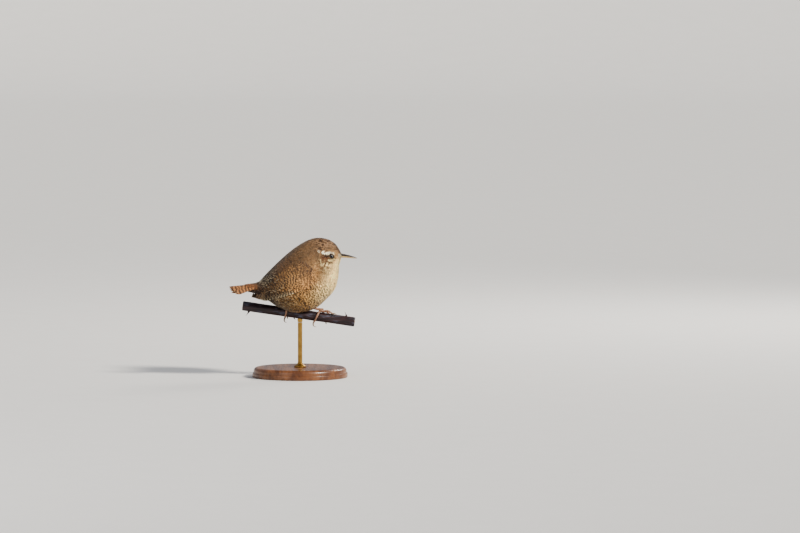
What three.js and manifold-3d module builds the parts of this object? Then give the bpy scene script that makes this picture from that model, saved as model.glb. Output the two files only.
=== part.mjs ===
// A life-size wren perched on a short cut stem, on a turned display stand.
// Millimetres, +Z up, the bird facing +X. The origin is the centre of the base's underside.
import * as THREE from "three";
import { mergeVertices } from "three/addons/utils/BufferGeometryUtils.js";
import Module from "manifold-3d";

const wasm = await Module();
wasm.setup();

// Driving sizes
const GAP = 0.3; // left between neighbours
const PERCH_RADIUS = 3.45;
const PERCH_HEIGHT = 45; // its middle line above the floor, over the origin
const PERCH_FALL = THREE.MathUtils.degToRad(8.3); // it runs down towards +X
const PERCH_ENDS = [-41.5, 39.5]; // along its own line from the origin
const BASE_RADIUS = 34;
const BASE_THICKNESS = 7;
const ROD_RADIUS = 1.6;
const SADDLE_RADIUS = 2.7;
const SADDLE_HEIGHT = 6;
const BODY_YAW = THREE.MathUtils.degToRad(16); // the body faces a little away from the viewer
const HEAD_TURN = THREE.MathUtils.degToRad(-12); // and the head looks back along the perch
const BODY_PLACE = [0.36, 0, 46.6]; // where the bird's own frame sits
const BILL_LENGTH = 11.3;
const EYE_RADIUS = 2.1;
const EYE_PLACE = [21.5, 7.95, 39.9];
const TAIL_LENGTH = 22.5; // beyond the tail coverts
const TOE_RADIUS = 0.68;
const TARSUS_RADIUS = 0.82;

const vec = (x, y, z) => new THREE.Vector3(x, y, z);
const curve = (points) => new THREE.CatmullRomCurve3(points.map((p) => vec(...p)), false, "catmullrom", 0.5);
const mix = THREE.MathUtils.lerp;

// Solids

function asSolid(geometry) {
  const plain = new THREE.BufferGeometry();
  plain.setAttribute("position", geometry.getAttribute("position").clone());
  plain.setIndex(geometry.index ? geometry.index.clone() : null);
  const merged = mergeVertices(plain, 1e-4);
  const build = (triVerts) =>
    new wasm.Manifold(new wasm.Mesh({ numProp: 3, vertProperties: merged.attributes.position.array, triVerts }));
  const order = new Uint32Array(merged.index.array);
  const made = build(order);
  if (made.volume() > 0) return made;
  for (let i = 0; i < order.length; i += 3) [order[i + 1], order[i + 2]] = [order[i + 2], order[i + 1]];
  return build(order);
}

function asGeometry(solid) {
  const mesh = solid.getMesh();
  const places = new Float32Array(mesh.numVert * 3);
  for (let i = 0; i < mesh.numVert; i++) {
    places.set(mesh.vertProperties.subarray(i * mesh.numProp, i * mesh.numProp + 3), i * 3);
  }
  const geometry = new THREE.BufferGeometry();
  geometry.setAttribute("position", new THREE.BufferAttribute(places, 3));
  geometry.setIndex(new THREE.BufferAttribute(new Uint32Array(mesh.triVerts), 1));
  return geometry;
}

const joined = (solids) => solids.reduce((all, one) => all.add(one));
const largest = (solid) => solid.decompose().reduce((a, b) => (a.volume() > b.volume() ? a : b));

function moved(solid, matrix) {
  return asSolid(asGeometry(solid).applyMatrix4(matrix));
}

// A closed surface over rings of points, each ring with the same count, and a point past each end.
function skinOver(rings, first, last) {
  const count = rings[0].length;
  const points = [...rings.flat(), first, last];
  const faces = [];
  for (let i = 0; i + 1 < rings.length; i++) {
    for (let j = 0; j < count; j++) {
      const a = i * count + j;
      const b = i * count + ((j + 1) % count);
      faces.push(a, b, a + count, b, b + count, a + count);
    }
  }
  const end = (rings.length - 1) * count;
  for (let j = 0; j < count; j++) {
    const next = (j + 1) % count;
    faces.push(points.length - 2, next, j, points.length - 1, end + j, end + next);
  }
  const geometry = new THREE.BufferGeometry().setFromPoints(points);
  geometry.setIndex(faces);
  return asSolid(geometry);
}

// A round limb along points, with a radius at each. Its ends stand out by this part of their radius.
function limb(points, radii, sides = 10, blunt = 0.5) {
  const line = points.map((p) => vec(...p));
  const rings = [];
  let side = null;
  line.forEach((p, i) => {
    const along = vec().subVectors(line[Math.min(i + 1, line.length - 1)], line[Math.max(i - 1, 0)]).normalize();
    side = side ?? (Math.abs(along.z) < 0.8 ? vec(0, 0, 1) : vec(0, 1, 0));
    side = side.clone().addScaledVector(along, -side.dot(along)).normalize();
    const across = vec().crossVectors(along, side);
    const ring = [];
    for (let j = 0; j < sides; j++) {
      const turn = (j / sides) * 2 * Math.PI;
      ring.push(
        p.clone().addScaledVector(side, radii[i] * Math.cos(turn)).addScaledVector(across, radii[i] * Math.sin(turn)),
      );
    }
    rings.push(ring);
  });
  const past = (from, to, reach) => to.clone().addScaledVector(vec().subVectors(to, from).normalize(), reach);
  const n = line.length;
  return skinOver(rings, past(line[1], line[0], radii[0] * blunt), past(line[n - 2], line[n - 1], radii[n - 1] * blunt));
}

// The half of space on one side of a plane across the bird, as a large box.
function halfSpace([x1, z1], [x2, z2], side) {
  const size = 200;
  const angle = Math.atan2(z2 - z1, x2 - x1);
  const box = new THREE.BoxGeometry(size, size, size);
  box.translate(0, 0, side * (size / 2 + GAP / 2));
  box.rotateY(-angle);
  box.translate(x1, 0, z1);
  return asSolid(box);
}

// The body's outline from the side: top x, z and bottom x, z of each station, then its half width high and low.
const STATIONS = {
  bill: [29.3, 41.7, 29.3, 38.4, 1.7, 1.6],
  lores: [27.5, 45.2, 28.6, 35.9, 4.7, 4.3],
  brow: [24.7, 48.9, 27.7, 32.5, 7.0, 6.8],
  eye: [19.2, 52.0, 27.5, 28.0, 8.0, 9.2],
  crown: [11.2, 52.7, 26.7, 22.2, 9.8, 13.8],
  nape: [3.5, 50.2, 24.5, 15.6, 12.0, 17.0],
  mantle: [-5.0, 45.0, 18.5, 8.9, 15.2, 19.0],
  back: [-13.3, 38.2, 9.2, 2.1, 17.4, 19.4],
  lowerBack: [-20.3, 31.8, -3.7, -0.4, 16.6, 17.6],
  rump: [-25.6, 26.8, -15.2, 3.4, 12.6, 13.0],
  coverts: [-29.6, 22.8, -24.0, 9.0, 7.8, 7.6],
  tailRoot: [-33.6, 21.2, -33.6, 14.0, 4.6, 4.0],
};
const rows = Object.values(STATIONS);
const LAST = rows.length - 1;
const topLine = curve(rows.map(([x, z]) => [x, 0, z]));
const bottomLine = curve(rows.map((r) => [r[2], 0, r[3]]));
const widths = curve(rows.map((r) => [r[4], r[5], 0]));
const stationOf = (name) => Object.keys(STATIONS).indexOf(name) / LAST;

// A point of the body's side: u runs from the bill to the tail, s from -1 at the bottom to 1 at the top.
function bodyMiddle(u, s) {
  return topLine.getPoint(u).multiplyScalar((1 + s) / 2).addScaledVector(bottomLine.getPoint(u), (1 - s) / 2);
}

function bodyHalfWidth(u, s) {
  const w = widths.getPoint(u);
  return mix(w.y, w.x, THREE.MathUtils.smoothstep(s, -0.75, 0.75)) * Math.sqrt(Math.max(0, 1 - s * s));
}

function turnHead(p) {
  const from = bodyMiddle(stationOf("mantle"), 0).x;
  const to = bodyMiddle(stationOf("crown"), 0).x;
  const angle = HEAD_TURN * THREE.MathUtils.smoothstep(p.x, from, to) * THREE.MathUtils.smoothstep(p.z, 18, 34);
  return vec(from, 0, 0).add(vec(p.x - from, p.y, p.z).applyAxisAngle(vec(0, 0, 1), angle));
}

function bodySolid() {
  const rings = [];
  const [steps, sides] = [26, 24];
  for (let i = 0; i <= steps; i++) {
    const ring = [];
    for (let j = 0; j < sides; j++) {
      const turn = (j / sides) * 2 * Math.PI;
      const p = bodyMiddle(i / steps, Math.cos(turn));
      const half = bodyHalfWidth(i / steps, Math.cos(turn));
      ring.push(turnHead(vec(p.x, half * Math.sign(Math.sin(turn)), p.z)));
    }
    rings.push(ring);
  }
  return skinOver(rings, turnHead(bodyMiddle(0, 0)), bodyMiddle(1, 0));
}

// How far the body reaches sideways at a place seen from the side, or 0 off its outline.
function sideAt(x, z) {
  const off = (u) => {
    const [top, bottom] = [topLine.getPoint(u), bottomLine.getPoint(u)];
    return (top.x - bottom.x) * (z - bottom.z) - (top.z - bottom.z) * (x - bottom.x);
  };
  let [low, high] = [stationOf("eye"), 1];
  if (off(low) * off(high) > 0) return 0;
  for (let i = 0; i < 30; i++) {
    const middle = (low + high) / 2;
    if (off(low) * off(middle) <= 0) high = middle;
    else low = middle;
  }
  const [top, bottom] = [topLine.getPoint(low), bottomLine.getPoint(low)];
  const s = (2 * (z - bottom.z)) / (top.z - bottom.z) - 1;
  return Math.abs(s) < 1 ? bodyHalfWidth(low, s) : 0;
}

// The folded wing: a curved plate on the flank, from the bend of the wing to the tip of the flight feathers.
const WING_LOWER = curve([[5.5, 0, 18.0], [-2.3, 0, 17.4], [-12.5, 0, 13.9], [-20, 0, 11.2], [-27, 0, 9.9], [-34, 0, 10.6]]);
const WING_UPPER = curve([[6.8, 0, 25.0], [2, 0, 33.5], [-8, 0, 36.5], [-17.5, 0, 31.5], [-26, 0, 21.5], [-34.2, 0, 11.6]]);
const WING_TIP_SIDE = 5.4; // how far the tip lies from the middle of the bird
const WING_PROUD = 0.7; // of the body's side
const WING_THICKNESS = [3.0, 1.3]; // at the bend and at the tip

// The same plate, grown and reaching well out, cuts its place in the trunk.
function wingSolid(side, grow) {
  const [steps, across] = [12, 5];
  const clear = grow ? 4 : 0;
  const rings = [];
  for (let i = 0; i <= steps; i++) {
    const a = i / steps;
    const [low, high] = [WING_LOWER.getPoint(a), WING_UPPER.getPoint(a)];
    const reach = vec().subVectors(high, low).normalize().multiplyScalar(grow);
    const along = vec((i === 0) * grow - (i === steps) * grow, 0, 0);
    const thick = mix(...WING_THICKNESS, a) + 2 * grow;
    const ring = [];
    const place = (b, inner) => {
      const p = low.clone().sub(reach).lerp(high.clone().add(reach), b).add(along);
      const body = sideAt(p.x, p.z);
      const tip = WING_TIP_SIDE + 3.2 * (1 - a);
      const rounded = 1 - (2 * b - 1) ** 4;
      const outer = Math.max(body, tip) + WING_PROUD * rounded + grow;
      return vec(p.x, side * (outer + (1 - inner) * clear - inner * thick * (0.45 + 0.55 * rounded)), p.z);
    };
    for (let j = 0; j <= across; j++) ring.push(place(j / across, 0));
    for (let j = across; j >= 0; j--) ring.push(place(j / across, 1));
    rings.push(ring);
  }
  const middle = (ring) => ring.reduce((sum, p) => sum.add(p), vec()).divideScalar(ring.length);
  return skinOver(rings, middle(rings[0]), middle(rings[steps]));
}

// The closed tail: a thin roof-shaped plate, widest near its rounded tip.
const TAIL_RIDGE = [21.0, 19.3]; // height of its ridge at the root and at the tip
const TAIL_HALF_WIDTH = [5.2, 7.4];
const TAIL_DROP = 7.0; // how far its edges hang below the ridge
const TAIL_THICKNESS = [3.0, 1.1];

function tailSolid(root) {
  const [steps, across] = [10, 8];
  const rings = [];
  for (let i = 0; i <= steps; i++) {
    const a = i / steps;
    const half = mix(...TAIL_HALF_WIDTH, Math.min(1, a * 1.4)) * Math.sqrt(1 - 0.93 * Math.max(0, (a - 0.72) / 0.28) ** 2);
    const thick = mix(...TAIL_THICKNESS, Math.sqrt(a));
    const ring = [];
    const place = (b, depth) => {
      const y = half * (2 * b - 1);
      const drop = TAIL_DROP * (y / TAIL_HALF_WIDTH[1]) ** 2;
      return vec(root - TAIL_LENGTH * a + 2 * (2 * b - 1) ** 2 * a, y, mix(...TAIL_RIDGE, a) - drop - depth * thick);
    };
    for (let j = 0; j <= across; j++) ring.push(place(j / across, 0));
    for (let j = across; j >= 0; j--) ring.push(place(j / across, 1));
    rings.push(ring);
  }
  const middle = (ring) => ring.reduce((sum, p) => sum.add(p), vec()).divideScalar(ring.length);
  return skinOver(rings, middle(rings[0]), middle(rings[steps]));
}

// One half of the bill. Its line bends down a little towards the tip.
function billSolid(upper) {
  const [steps, sides] = [12, 10];
  const length = BILL_LENGTH * (upper ? 1 : 0.96);
  const rings = [];
  for (let i = 0; i <= steps; i++) {
    const a = i / steps;
    const taper = (1 - a) ** 0.75;
    const half = 1.35 * taper + 0.22;
    const deep = (upper ? 1.3 : 0.95) * taper + 0.24;
    const seam = 39.9 - 1.0 * a - 0.75 * a * a + (upper ? 0.06 : -0.06);
    const ring = [];
    for (let j = 0; j <= sides; j++) {
      const turn = (j / sides) * Math.PI;
      const z = seam + (upper ? 1 : -1) * deep * Math.sin(turn);
      ring.push(turnHead(vec(STATIONS.bill[0] + GAP + length * a, half * Math.cos(turn), z)));
    }
    rings.push(ring);
  }
  const middle = (ring) => ring.reduce((sum, p) => sum.add(p), vec()).divideScalar(ring.length);
  return skinOver(rings, middle(rings[0]), middle(rings[steps]));
}

function eyeSolid(side, grow) {
  const ball = new THREE.SphereGeometry(EYE_RADIUS + grow, 14, 9);
  const place = turnHead(vec(EYE_PLACE[0], side * EYE_PLACE[1], EYE_PLACE[2]));
  ball.translate(place.x, place.y, place.z);
  return asSolid(ball);
}

// The perch, feet and stand are in the frame of the whole model.

// A place by the perch: x along it, angle from its top towards the viewer, and distance from its middle line.
function byPerch(x, angle, out) {
  const along = vec(Math.cos(PERCH_FALL), 0, -Math.sin(PERCH_FALL));
  const up = vec(Math.sin(PERCH_FALL), 0, Math.cos(PERCH_FALL));
  const turn = THREE.MathUtils.degToRad(angle);
  return vec(0, 0, PERCH_HEIGHT)
    .addScaledVector(along, x)
    .addScaledVector(up, out * Math.cos(turn))
    .add(vec(0, -out * Math.sin(turn), 0));
}

// Where the perch has thorns: x, angle, length.
const THORNS = [[-36.5, 158, 3.4], [-30.5, -70, 3.0], [33, 18, 3.2]];

function perchSolid(grow = 0) {
  const steps = 8;
  const points = [];
  const radii = [];
  for (let i = 0; i <= steps; i++) {
    const x = mix(PERCH_ENDS[0] - grow, PERCH_ENDS[1] + grow, i / steps);
    points.push(byPerch(x, 0, 0).toArray());
    radii.push(PERCH_RADIUS + grow);
  }
  const stem = limb(points, radii, 16, 0);
  if (grow) return stem;
  const thorns = THORNS.map(([x, angle, length]) => {
    const line = [0, 0.35, 0.7, 1].map((a) => byPerch(x - 1.6 * a * a, angle, PERCH_RADIUS - 0.8 + (length + 0.8) * a));
    return limb(line.map((p) => p.toArray()), [1.2, 0.8, 0.45, 0.15], 6);
  });
  return joined([stem, ...thorns]);
}

// Each foot grips the perch: the hind toe on the viewer's side, front toes over the top and the far side.
// A toe has the place along the perch and the angle round it where it starts and ends, and its arch.
// The hind claws hang free under the perch, by these places and distances from the perch's middle line.
const FEET = {
  right: {
    palm: 14.8,
    tarsus: [[0.4, 6, 5.6], [-4.2, 12, 5.7], [-9.4, 14, 7.4]],
    toes: {
      hind: [-1.2, 22, -4.0, 142, 0.2],
      inner: [1.0, -22, 3.6, -114, 0.3],
      middle: [1.6, -8, 8.2, -86, 0.8],
      outer: [1.7, 8, 7.6, 24, 1.1],
    },
    hindClaw: [[-4.2, 150, 4.5], [-4.5, 158, 6.0], [-3.7, 168, 7.2], [-2.0, 175, 7.4]],
  },
  left: {
    palm: -9.2,
    tarsus: [[-0.4, -6, 5.8], [-3.6, -10, 8.0], [-6.3, -18, 13.0]],
    toes: {
      hind: [-0.4, 22, -1.0, 144, 0.2],
      inner: [1.4, -6, 7.4, -52, 0.6],
      middle: [0.8, -16, 4.4, -112, 0.4],
      outer: [-0.4, -22, 0.4, -118, 0.3],
    },
    hindClaw: [[-1.1, 152, 4.5], [-1.4, 160, 5.9], [-0.8, 168, 7.0], [0.6, 175, 7.3]],
  },
};
const CLAW_LENGTH = { inner: 3.4, middle: 3.8, outer: 3.4 };
const TOE_OUT = PERCH_RADIUS + TOE_RADIUS + 0.2; // of a toe's middle line from the perch's

function toeLine(palm, [x1, a1, x2, a2, arch], steps = 6) {
  const line = [];
  for (let i = 0; i <= steps; i++) {
    const a = i / steps;
    line.push(byPerch(palm + mix(x1, x2, a), mix(a1, a2, a), TOE_OUT + arch * Math.sin(Math.PI * a)));
  }
  return line;
}

function footSolid({ palm, toes }, grow) {
  const parts = Object.values(toes).map((toe) => {
    const line = toeLine(palm, toe).map((p) => p.toArray());
    return limb(line, line.map((_, i) => TOE_RADIUS * (1.12 - 0.04 * i) + grow), 6);
  });
  const pad = new THREE.SphereGeometry(1, 12, 8);
  pad.scale(2.0 + grow, 1.75 + grow, 0.95 + grow);
  pad.rotateY(PERCH_FALL);
  const seat = byPerch(palm, 4, PERCH_RADIUS + 1.2);
  pad.translate(seat.x, seat.y, seat.z);
  return joined([...parts, asSolid(pad)]);
}

// A front claw carries on round the perch from its toe and bends in to touch it.
function frontClawLine({ palm, toes }, name) {
  const [x1, a1, x2, a2] = toes[name];
  const reach = Math.hypot(x2 - x1, THREE.MathUtils.degToRad(a2 - a1) * PERCH_RADIUS);
  const line = [];
  for (const a of [0, 0.25, 0.5, 0.75, 1]) {
    const on = 1 + (0.85 + CLAW_LENGTH[name] * 0.8 * a) / reach;
    const out = TOE_OUT + 0.75 * Math.sin(Math.PI * a * 0.8) - 0.5 * a;
    line.push(byPerch(palm + mix(x1, x2, on), mix(a1, a2, on), out).toArray());
  }
  return line;
}

function clawSolid(foot, name, grow) {
  const hind = foot.hindClaw.map(([x, angle, out]) => byPerch(foot.palm + x, angle, out).toArray());
  const line = name === "hind" ? curve(hind).getPoints(5).map((p) => p.toArray()) : frontClawLine(foot, name);
  return limb(line, line.map((_, i) => mix(0.5, 0.14, i / (line.length - 1)) + grow), 6);
}

function tarsusSolid({ palm, tarsus }, grow) {
  const line = tarsus.map(([x, angle, out]) => byPerch(palm + x, angle, out).toArray());
  const points = curve(line).getPoints(6).map((p) => p.toArray());
  return limb(points, points.map(() => TARSUS_RADIUS + grow), 8);
}

function turned(profile, segments) {
  const lathe = new THREE.LatheGeometry(profile.map(([r, z]) => new THREE.Vector2(r, z)), segments);
  return asSolid(lathe.rotateX(Math.PI / 2));
}

// The base has a rounded top edge and a blind hole for the rod.
function baseSolid() {
  const hole = ROD_RADIUS + GAP;
  const profile = [[0, 0], [BASE_RADIUS, 0], [BASE_RADIUS, BASE_THICKNESS * 0.45]];
  for (let i = 0; i <= 3; i++) {
    const turn = (i / 3) * (Math.PI / 2);
    profile.push([BASE_RADIUS - 3.2 + 2.4 * Math.cos(turn), BASE_THICKNESS - 2.4 + 2.4 * Math.sin(turn)]);
  }
  profile.push([hole, BASE_THICKNESS], [hole, BASE_THICKNESS - 4], [0, BASE_THICKNESS - 4]);
  return turned(profile, 36);
}

// The rod ends in a small foot on the base and carries the saddle.
function rodSolid() {
  const top = PERCH_HEIGHT - PERCH_RADIUS - 2.5;
  const [foot, seat] = [4.2, BASE_THICKNESS + GAP];
  return turned([
    [0, BASE_THICKNESS - 3.6], [ROD_RADIUS, BASE_THICKNESS - 3.6], [ROD_RADIUS, seat], [foot, seat],
    [foot, seat + 0.8], [foot - 1, seat + 1.5], [ROD_RADIUS + 0.3, seat + 2.2], [ROD_RADIUS, seat + 4],
    [ROD_RADIUS, top], [0, top],
  ], 16);
}

function saddleSolid() {
  const cup = new THREE.CylinderGeometry(SADDLE_RADIUS, ROD_RADIUS, SADDLE_HEIGHT, 16);
  cup.rotateX(Math.PI / 2);
  cup.translate(0, 0, PERCH_HEIGHT - PERCH_RADIUS - 2.5 + GAP + SADDLE_HEIGHT / 2);
  return largest(asSolid(cup).subtract(perchSolid(GAP)));
}

// The whole model

const materials = {
  plumage: new THREE.MeshStandardMaterial({ color: 0x8a5f38, roughness: 0.85 }),
  flight: new THREE.MeshStandardMaterial({ color: 0x6e4a2c, roughness: 0.8 }),
  bill: new THREE.MeshStandardMaterial({ color: 0x4a3d33, roughness: 0.45 }),
  eye: new THREE.MeshStandardMaterial({ color: 0x140b07, roughness: 0.08 }),
  leg: new THREE.MeshStandardMaterial({ color: 0xa97f68, roughness: 0.6 }),
  claw: new THREE.MeshStandardMaterial({ color: 0x6b5547, roughness: 0.4 }),
  stem: new THREE.MeshStandardMaterial({ color: 0x2f2530, roughness: 0.6 }),
  base: new THREE.MeshStandardMaterial({ color: 0x4b2f1e, roughness: 0.45 }),
  rod: new THREE.MeshStandardMaterial({ color: 0x9a8254, roughness: 0.35, metalness: 1 }),
};

const part = new THREE.Group();
const bird = new THREE.Group();
bird.rotation.z = BODY_YAW;
bird.position.set(...BODY_PLACE);
part.add(bird);
bird.updateMatrixWorld(true);
const intoBird = bird.matrixWorld.clone().invert();

function addPiece(group, name, solid, material) {
  const mesh = new THREE.Mesh(asGeometry(largest(solid)), material);
  mesh.name = name;
  group.add(mesh);
}

const sides = { left: 1, right: -1 };
const feetCut = joined(
  Object.values(FEET).flatMap((foot) => [
    footSolid(foot, GAP),
    tarsusSolid(foot, GAP),
    ...Object.keys(foot.toes).map((toe) => clawSolid(foot, toe, GAP)),
  ]),
);

const body = bodySolid();
const wingsCut = joined([1, -1].flatMap((side) => [wingSolid(side, GAP), wingSolid(side, 0)]));
const nape = [[1.5, 52.5], [27.6, 27.6]];
const shoulders = [[-4, 49.5], [26.2, 20.2]];
const tailCut = [[-29.4, 10], [-30.6, 30]];
const sockets = joined([eyeSolid(1, GAP), eyeSolid(-1, GAP)]);
addPiece(bird, "head", body.intersect(halfSpace(...nape, 1)).subtract(sockets), materials.plumage);
addPiece(bird, "neck", body.intersect(halfSpace(...nape, -1)).intersect(halfSpace(...shoulders, 1)), materials.plumage);
const trunk = body
  .intersect(halfSpace(...shoulders, -1))
  .intersect(halfSpace(...tailCut, -1))
  .subtract(wingsCut)
  .subtract(moved(perchSolid(GAP), intoBird))
  .subtract(moved(feetCut, intoBird));
addPiece(bird, "trunk", trunk, materials.plumage);
const tail = body.intersect(halfSpace(...tailCut, 1)).add(tailSolid(-30).intersect(halfSpace(...tailCut, 1)));
addPiece(bird, "tail", tail.subtract(wingsCut), materials.flight);
addPiece(bird, "bill_upper", billSolid(true), materials.bill);
addPiece(bird, "bill_lower", billSolid(false), materials.bill);

for (const [name, side] of Object.entries(sides)) {
  addPiece(bird, `eye_${name}`, eyeSolid(side, 0), materials.eye);
  addPiece(bird, `wing_${name}`, wingSolid(side, 0), materials.flight);
  const foot = FEET[name];
  addPiece(part, `leg_${name}`, tarsusSolid(foot, 0).subtract(footSolid(foot, GAP)), materials.leg);
  addPiece(part, `foot_${name}`, footSolid(foot, 0), materials.leg);
  for (const toe of Object.keys(foot.toes)) addPiece(part, `claw_${name}_${toe}`, clawSolid(foot, toe, 0), materials.claw);
}

addPiece(part, "perch", perchSolid(), materials.stem);
addPiece(part, "stand_base", baseSolid(), materials.base);
addPiece(part, "stand_rod", rodSolid(), materials.rod);
addPiece(part, "stand_saddle", saddleSolid(), materials.rod);

export default part;
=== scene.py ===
import math

import bpy
import numpy as np
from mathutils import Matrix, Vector


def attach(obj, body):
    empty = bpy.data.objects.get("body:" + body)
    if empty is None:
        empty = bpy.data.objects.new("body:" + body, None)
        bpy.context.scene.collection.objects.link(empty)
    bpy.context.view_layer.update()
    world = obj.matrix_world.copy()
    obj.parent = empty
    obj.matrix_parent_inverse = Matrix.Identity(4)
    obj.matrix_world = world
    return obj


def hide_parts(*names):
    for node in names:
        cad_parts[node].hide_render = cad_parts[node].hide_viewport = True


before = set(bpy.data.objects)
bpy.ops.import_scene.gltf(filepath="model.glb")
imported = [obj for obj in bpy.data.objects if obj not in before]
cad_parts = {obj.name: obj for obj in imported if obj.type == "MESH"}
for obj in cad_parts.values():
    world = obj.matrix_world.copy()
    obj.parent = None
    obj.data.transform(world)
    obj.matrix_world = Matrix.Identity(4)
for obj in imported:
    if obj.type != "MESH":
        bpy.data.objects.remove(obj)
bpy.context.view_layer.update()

# A wren on a cut stem. The bird's own frame is in millimetres, facing +X with +Y to its left, before its
# head and body are turned: place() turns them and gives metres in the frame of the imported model.

# Sizes, as in the solids
STATIONS = np.array([  # top x, top z, bottom x, bottom z, half width high, half width low
    [29.3, 41.7, 29.3, 38.4, 1.7, 1.6],  # bill
    [27.5, 45.2, 28.6, 35.9, 4.7, 4.3],  # lores
    [24.7, 48.9, 27.7, 32.5, 7.0, 6.8],  # brow
    [19.2, 52.0, 27.5, 28.0, 8.0, 9.2],  # eye
    [11.2, 52.7, 26.7, 22.2, 9.8, 13.8],  # crown
    [3.5, 50.2, 24.5, 15.6, 12.0, 17.0],  # nape
    [-5.0, 45.0, 18.5, 8.9, 15.2, 19.0],  # mantle
    [-13.3, 38.2, 9.2, 2.1, 17.4, 19.4],  # back
    [-20.3, 31.8, -3.7, -0.4, 16.6, 17.6],  # lower back
    [-25.6, 26.8, -15.2, 3.4, 12.6, 13.0],  # rump
    [-29.6, 22.8, -24.0, 9.0, 7.8, 7.6],  # tail coverts
    [-33.6, 21.2, -33.6, 14.0, 4.6, 4.0],  # tail root
])
LORES, BROW, EYE, CROWN, NAPE, MANTLE, BACK, LOWER_BACK, RUMP, COVERTS = (i / 11 for i in range(1, 11))
PAST_ROOT = np.array([-44.0, -4.0, -44.0, 12.0, -6.0, -6.0])
BODY_YAW = math.radians(16)
HEAD_TURN = math.radians(-12)
BODY_PLACE = np.array([0.36, 0.0, 46.6])
EYE_PLACE = np.array([21.5, 7.95, 39.9])
EYE_RADIUS = 2.1
EYE_PARTING = 2.5
BILL_START = 29.3
BILL_LENGTH = 11.3
PERCH_RADIUS = 3.45
PERCH_HEIGHT = 45.0
PERCH_FALL = math.radians(8.3)
PERCH_ENDS = (-41.5, 39.5)
BASE_RADIUS = 34.0
BASE_THICKNESS = 7.0
ROD_RADIUS = 1.6
TOE_RADIUS = 0.68
TARSUS_RADIUS = 0.82
WING_LOWER = [[5.5, 18.0], [-2.3, 17.4], [-12.5, 13.9], [-20, 11.2], [-27, 9.9], [-34, 10.6]]
WING_UPPER = [[6.8, 25.0], [2, 33.5], [-8, 36.5], [-17.5, 31.5], [-26, 21.5], [-34.2, 11.6]]
WING_TIP_SIDE = 5.4
WING_PROUD = 0.7
TAIL_START = -30.0
TAIL_LENGTH = 22.5
TAIL_RIDGE = (21.0, 19.3)
TAIL_DROP = 7.0
TAIL_HALF = 7.4

# The coat from the bill to the tail, in millimetres: its depth, its rows' spacing and its feathers' length
COAT_DEPTH = ([0, LORES, BROW, EYE, CROWN, NAPE, 1], [0.25, 0.35, 0.5, 0.6, 0.8, 1.1, 1.1])
COAT_SPACING = ([0, LORES, BROW, EYE, CROWN, NAPE, MANTLE, 1],
                [0.40, 0.47, 0.53, 0.60, 0.76, 0.96, 1.12, 1.15])
COAT_LENGTH = ([0, LORES, BROW, EYE, CROWN, NAPE, MANTLE, 0.85, 1],
               [1.2, 1.5, 1.9, 2.5, 3.4, 4.6, 5.4, 6.5, 8.5])
# How far the coat goes in under the folded wing, and out over its front and upper edge
UNDER_WING = 1.3
OVER_WING = 1.25
# The eye's socket in the skin: its depth, and the ring round the eye where it is deepest
SOCKET_DEPTH = 0.55
SOCKET_RING = 1.2
SOCKET_WIDTH = 1.3
# The share of feathers on the lower back that end in a pale spot
SPOTTED_SHARE = 0.45

# How long a pair of a dark and a pale bar is on the body, in millimetres
BAR_LENGTH = 2.25
# A feather's size on the map for baking: small on face, head and neck, large on trunk and rear
SMALL_PATCH = 0.006
LARGE_PATCH = 0.01

rng = np.random.default_rng(11)


# Small maths

def mix(a, b, k):
    return a + (b - a) * k


def smooth(x, low, high):
    k = np.clip((x - low) / (high - low), 0, 1)
    return k * k * (3 - 2 * k)


def unit(v):
    return v / np.maximum(np.linalg.norm(v, axis=-1, keepdims=True), 1e-12)


def spline(points, t):
    """A Catmull-Rom curve through rows of points. Past its ends it runs on straight."""
    p = np.asarray(points, float)
    n = len(p) - 1
    t = np.asarray(t, float)
    x = np.clip(t, 0, 1) * n
    i = np.minimum(x.astype(int), n - 1)
    w = (x - i)[..., None]
    padded = np.vstack([2 * p[0] - p[1], p, 2 * p[-1] - p[-2]])
    p0, p1, p2, p3 = (padded[i + k] for k in range(4))
    value = (
        (2 * w**3 - 3 * w**2 + 1) * p1
        + (w**3 - 2 * w**2 + w) * (p2 - p0) / 2
        + (3 * w**2 - 2 * w**3) * p2
        + (w**3 - w**2) * (p3 - p1) / 2
    )
    before = np.minimum(t, 0)[..., None] * (p[1] - p[0]) * n
    after = np.maximum(t - 1, 0)[..., None] * (p[-1] - p[-2]) * n
    return value + before + after


def noise(p, scale, seed=0):
    """A smooth cheap noise of places, about -1 to 1, as a sum of slanted waves."""
    turn = np.random.default_rng(seed)
    total = 0
    for _ in range(7):
        way = unit(turn.normal(size=3)) * scale * turn.uniform(0.6, 1.7)
        total = total + np.sin(p @ way * 2 * np.pi + turn.uniform(0, 6.28))
    return total / 3.2


# The body's surface: u from the bill to the tail, phi from 0 at the top through pi / 2 on the left

def body(u, phi):
    # Past the tail's root the surface runs on under and over the tail.
    past = np.maximum(u - 1, 0)
    r = spline(STATIONS, np.minimum(u, 1)) + past[..., None] * PAST_ROOT
    s = np.cos(phi)
    x = mix(r[..., 2], r[..., 0], (1 + s) / 2)
    z = mix(r[..., 3], r[..., 1], (1 + s) / 2)
    half = np.maximum(mix(r[..., 5], r[..., 4], smooth(s, -0.75, 0.75)), 0.3)
    return np.stack([x, half * np.sin(phi), z], axis=-1)


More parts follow.
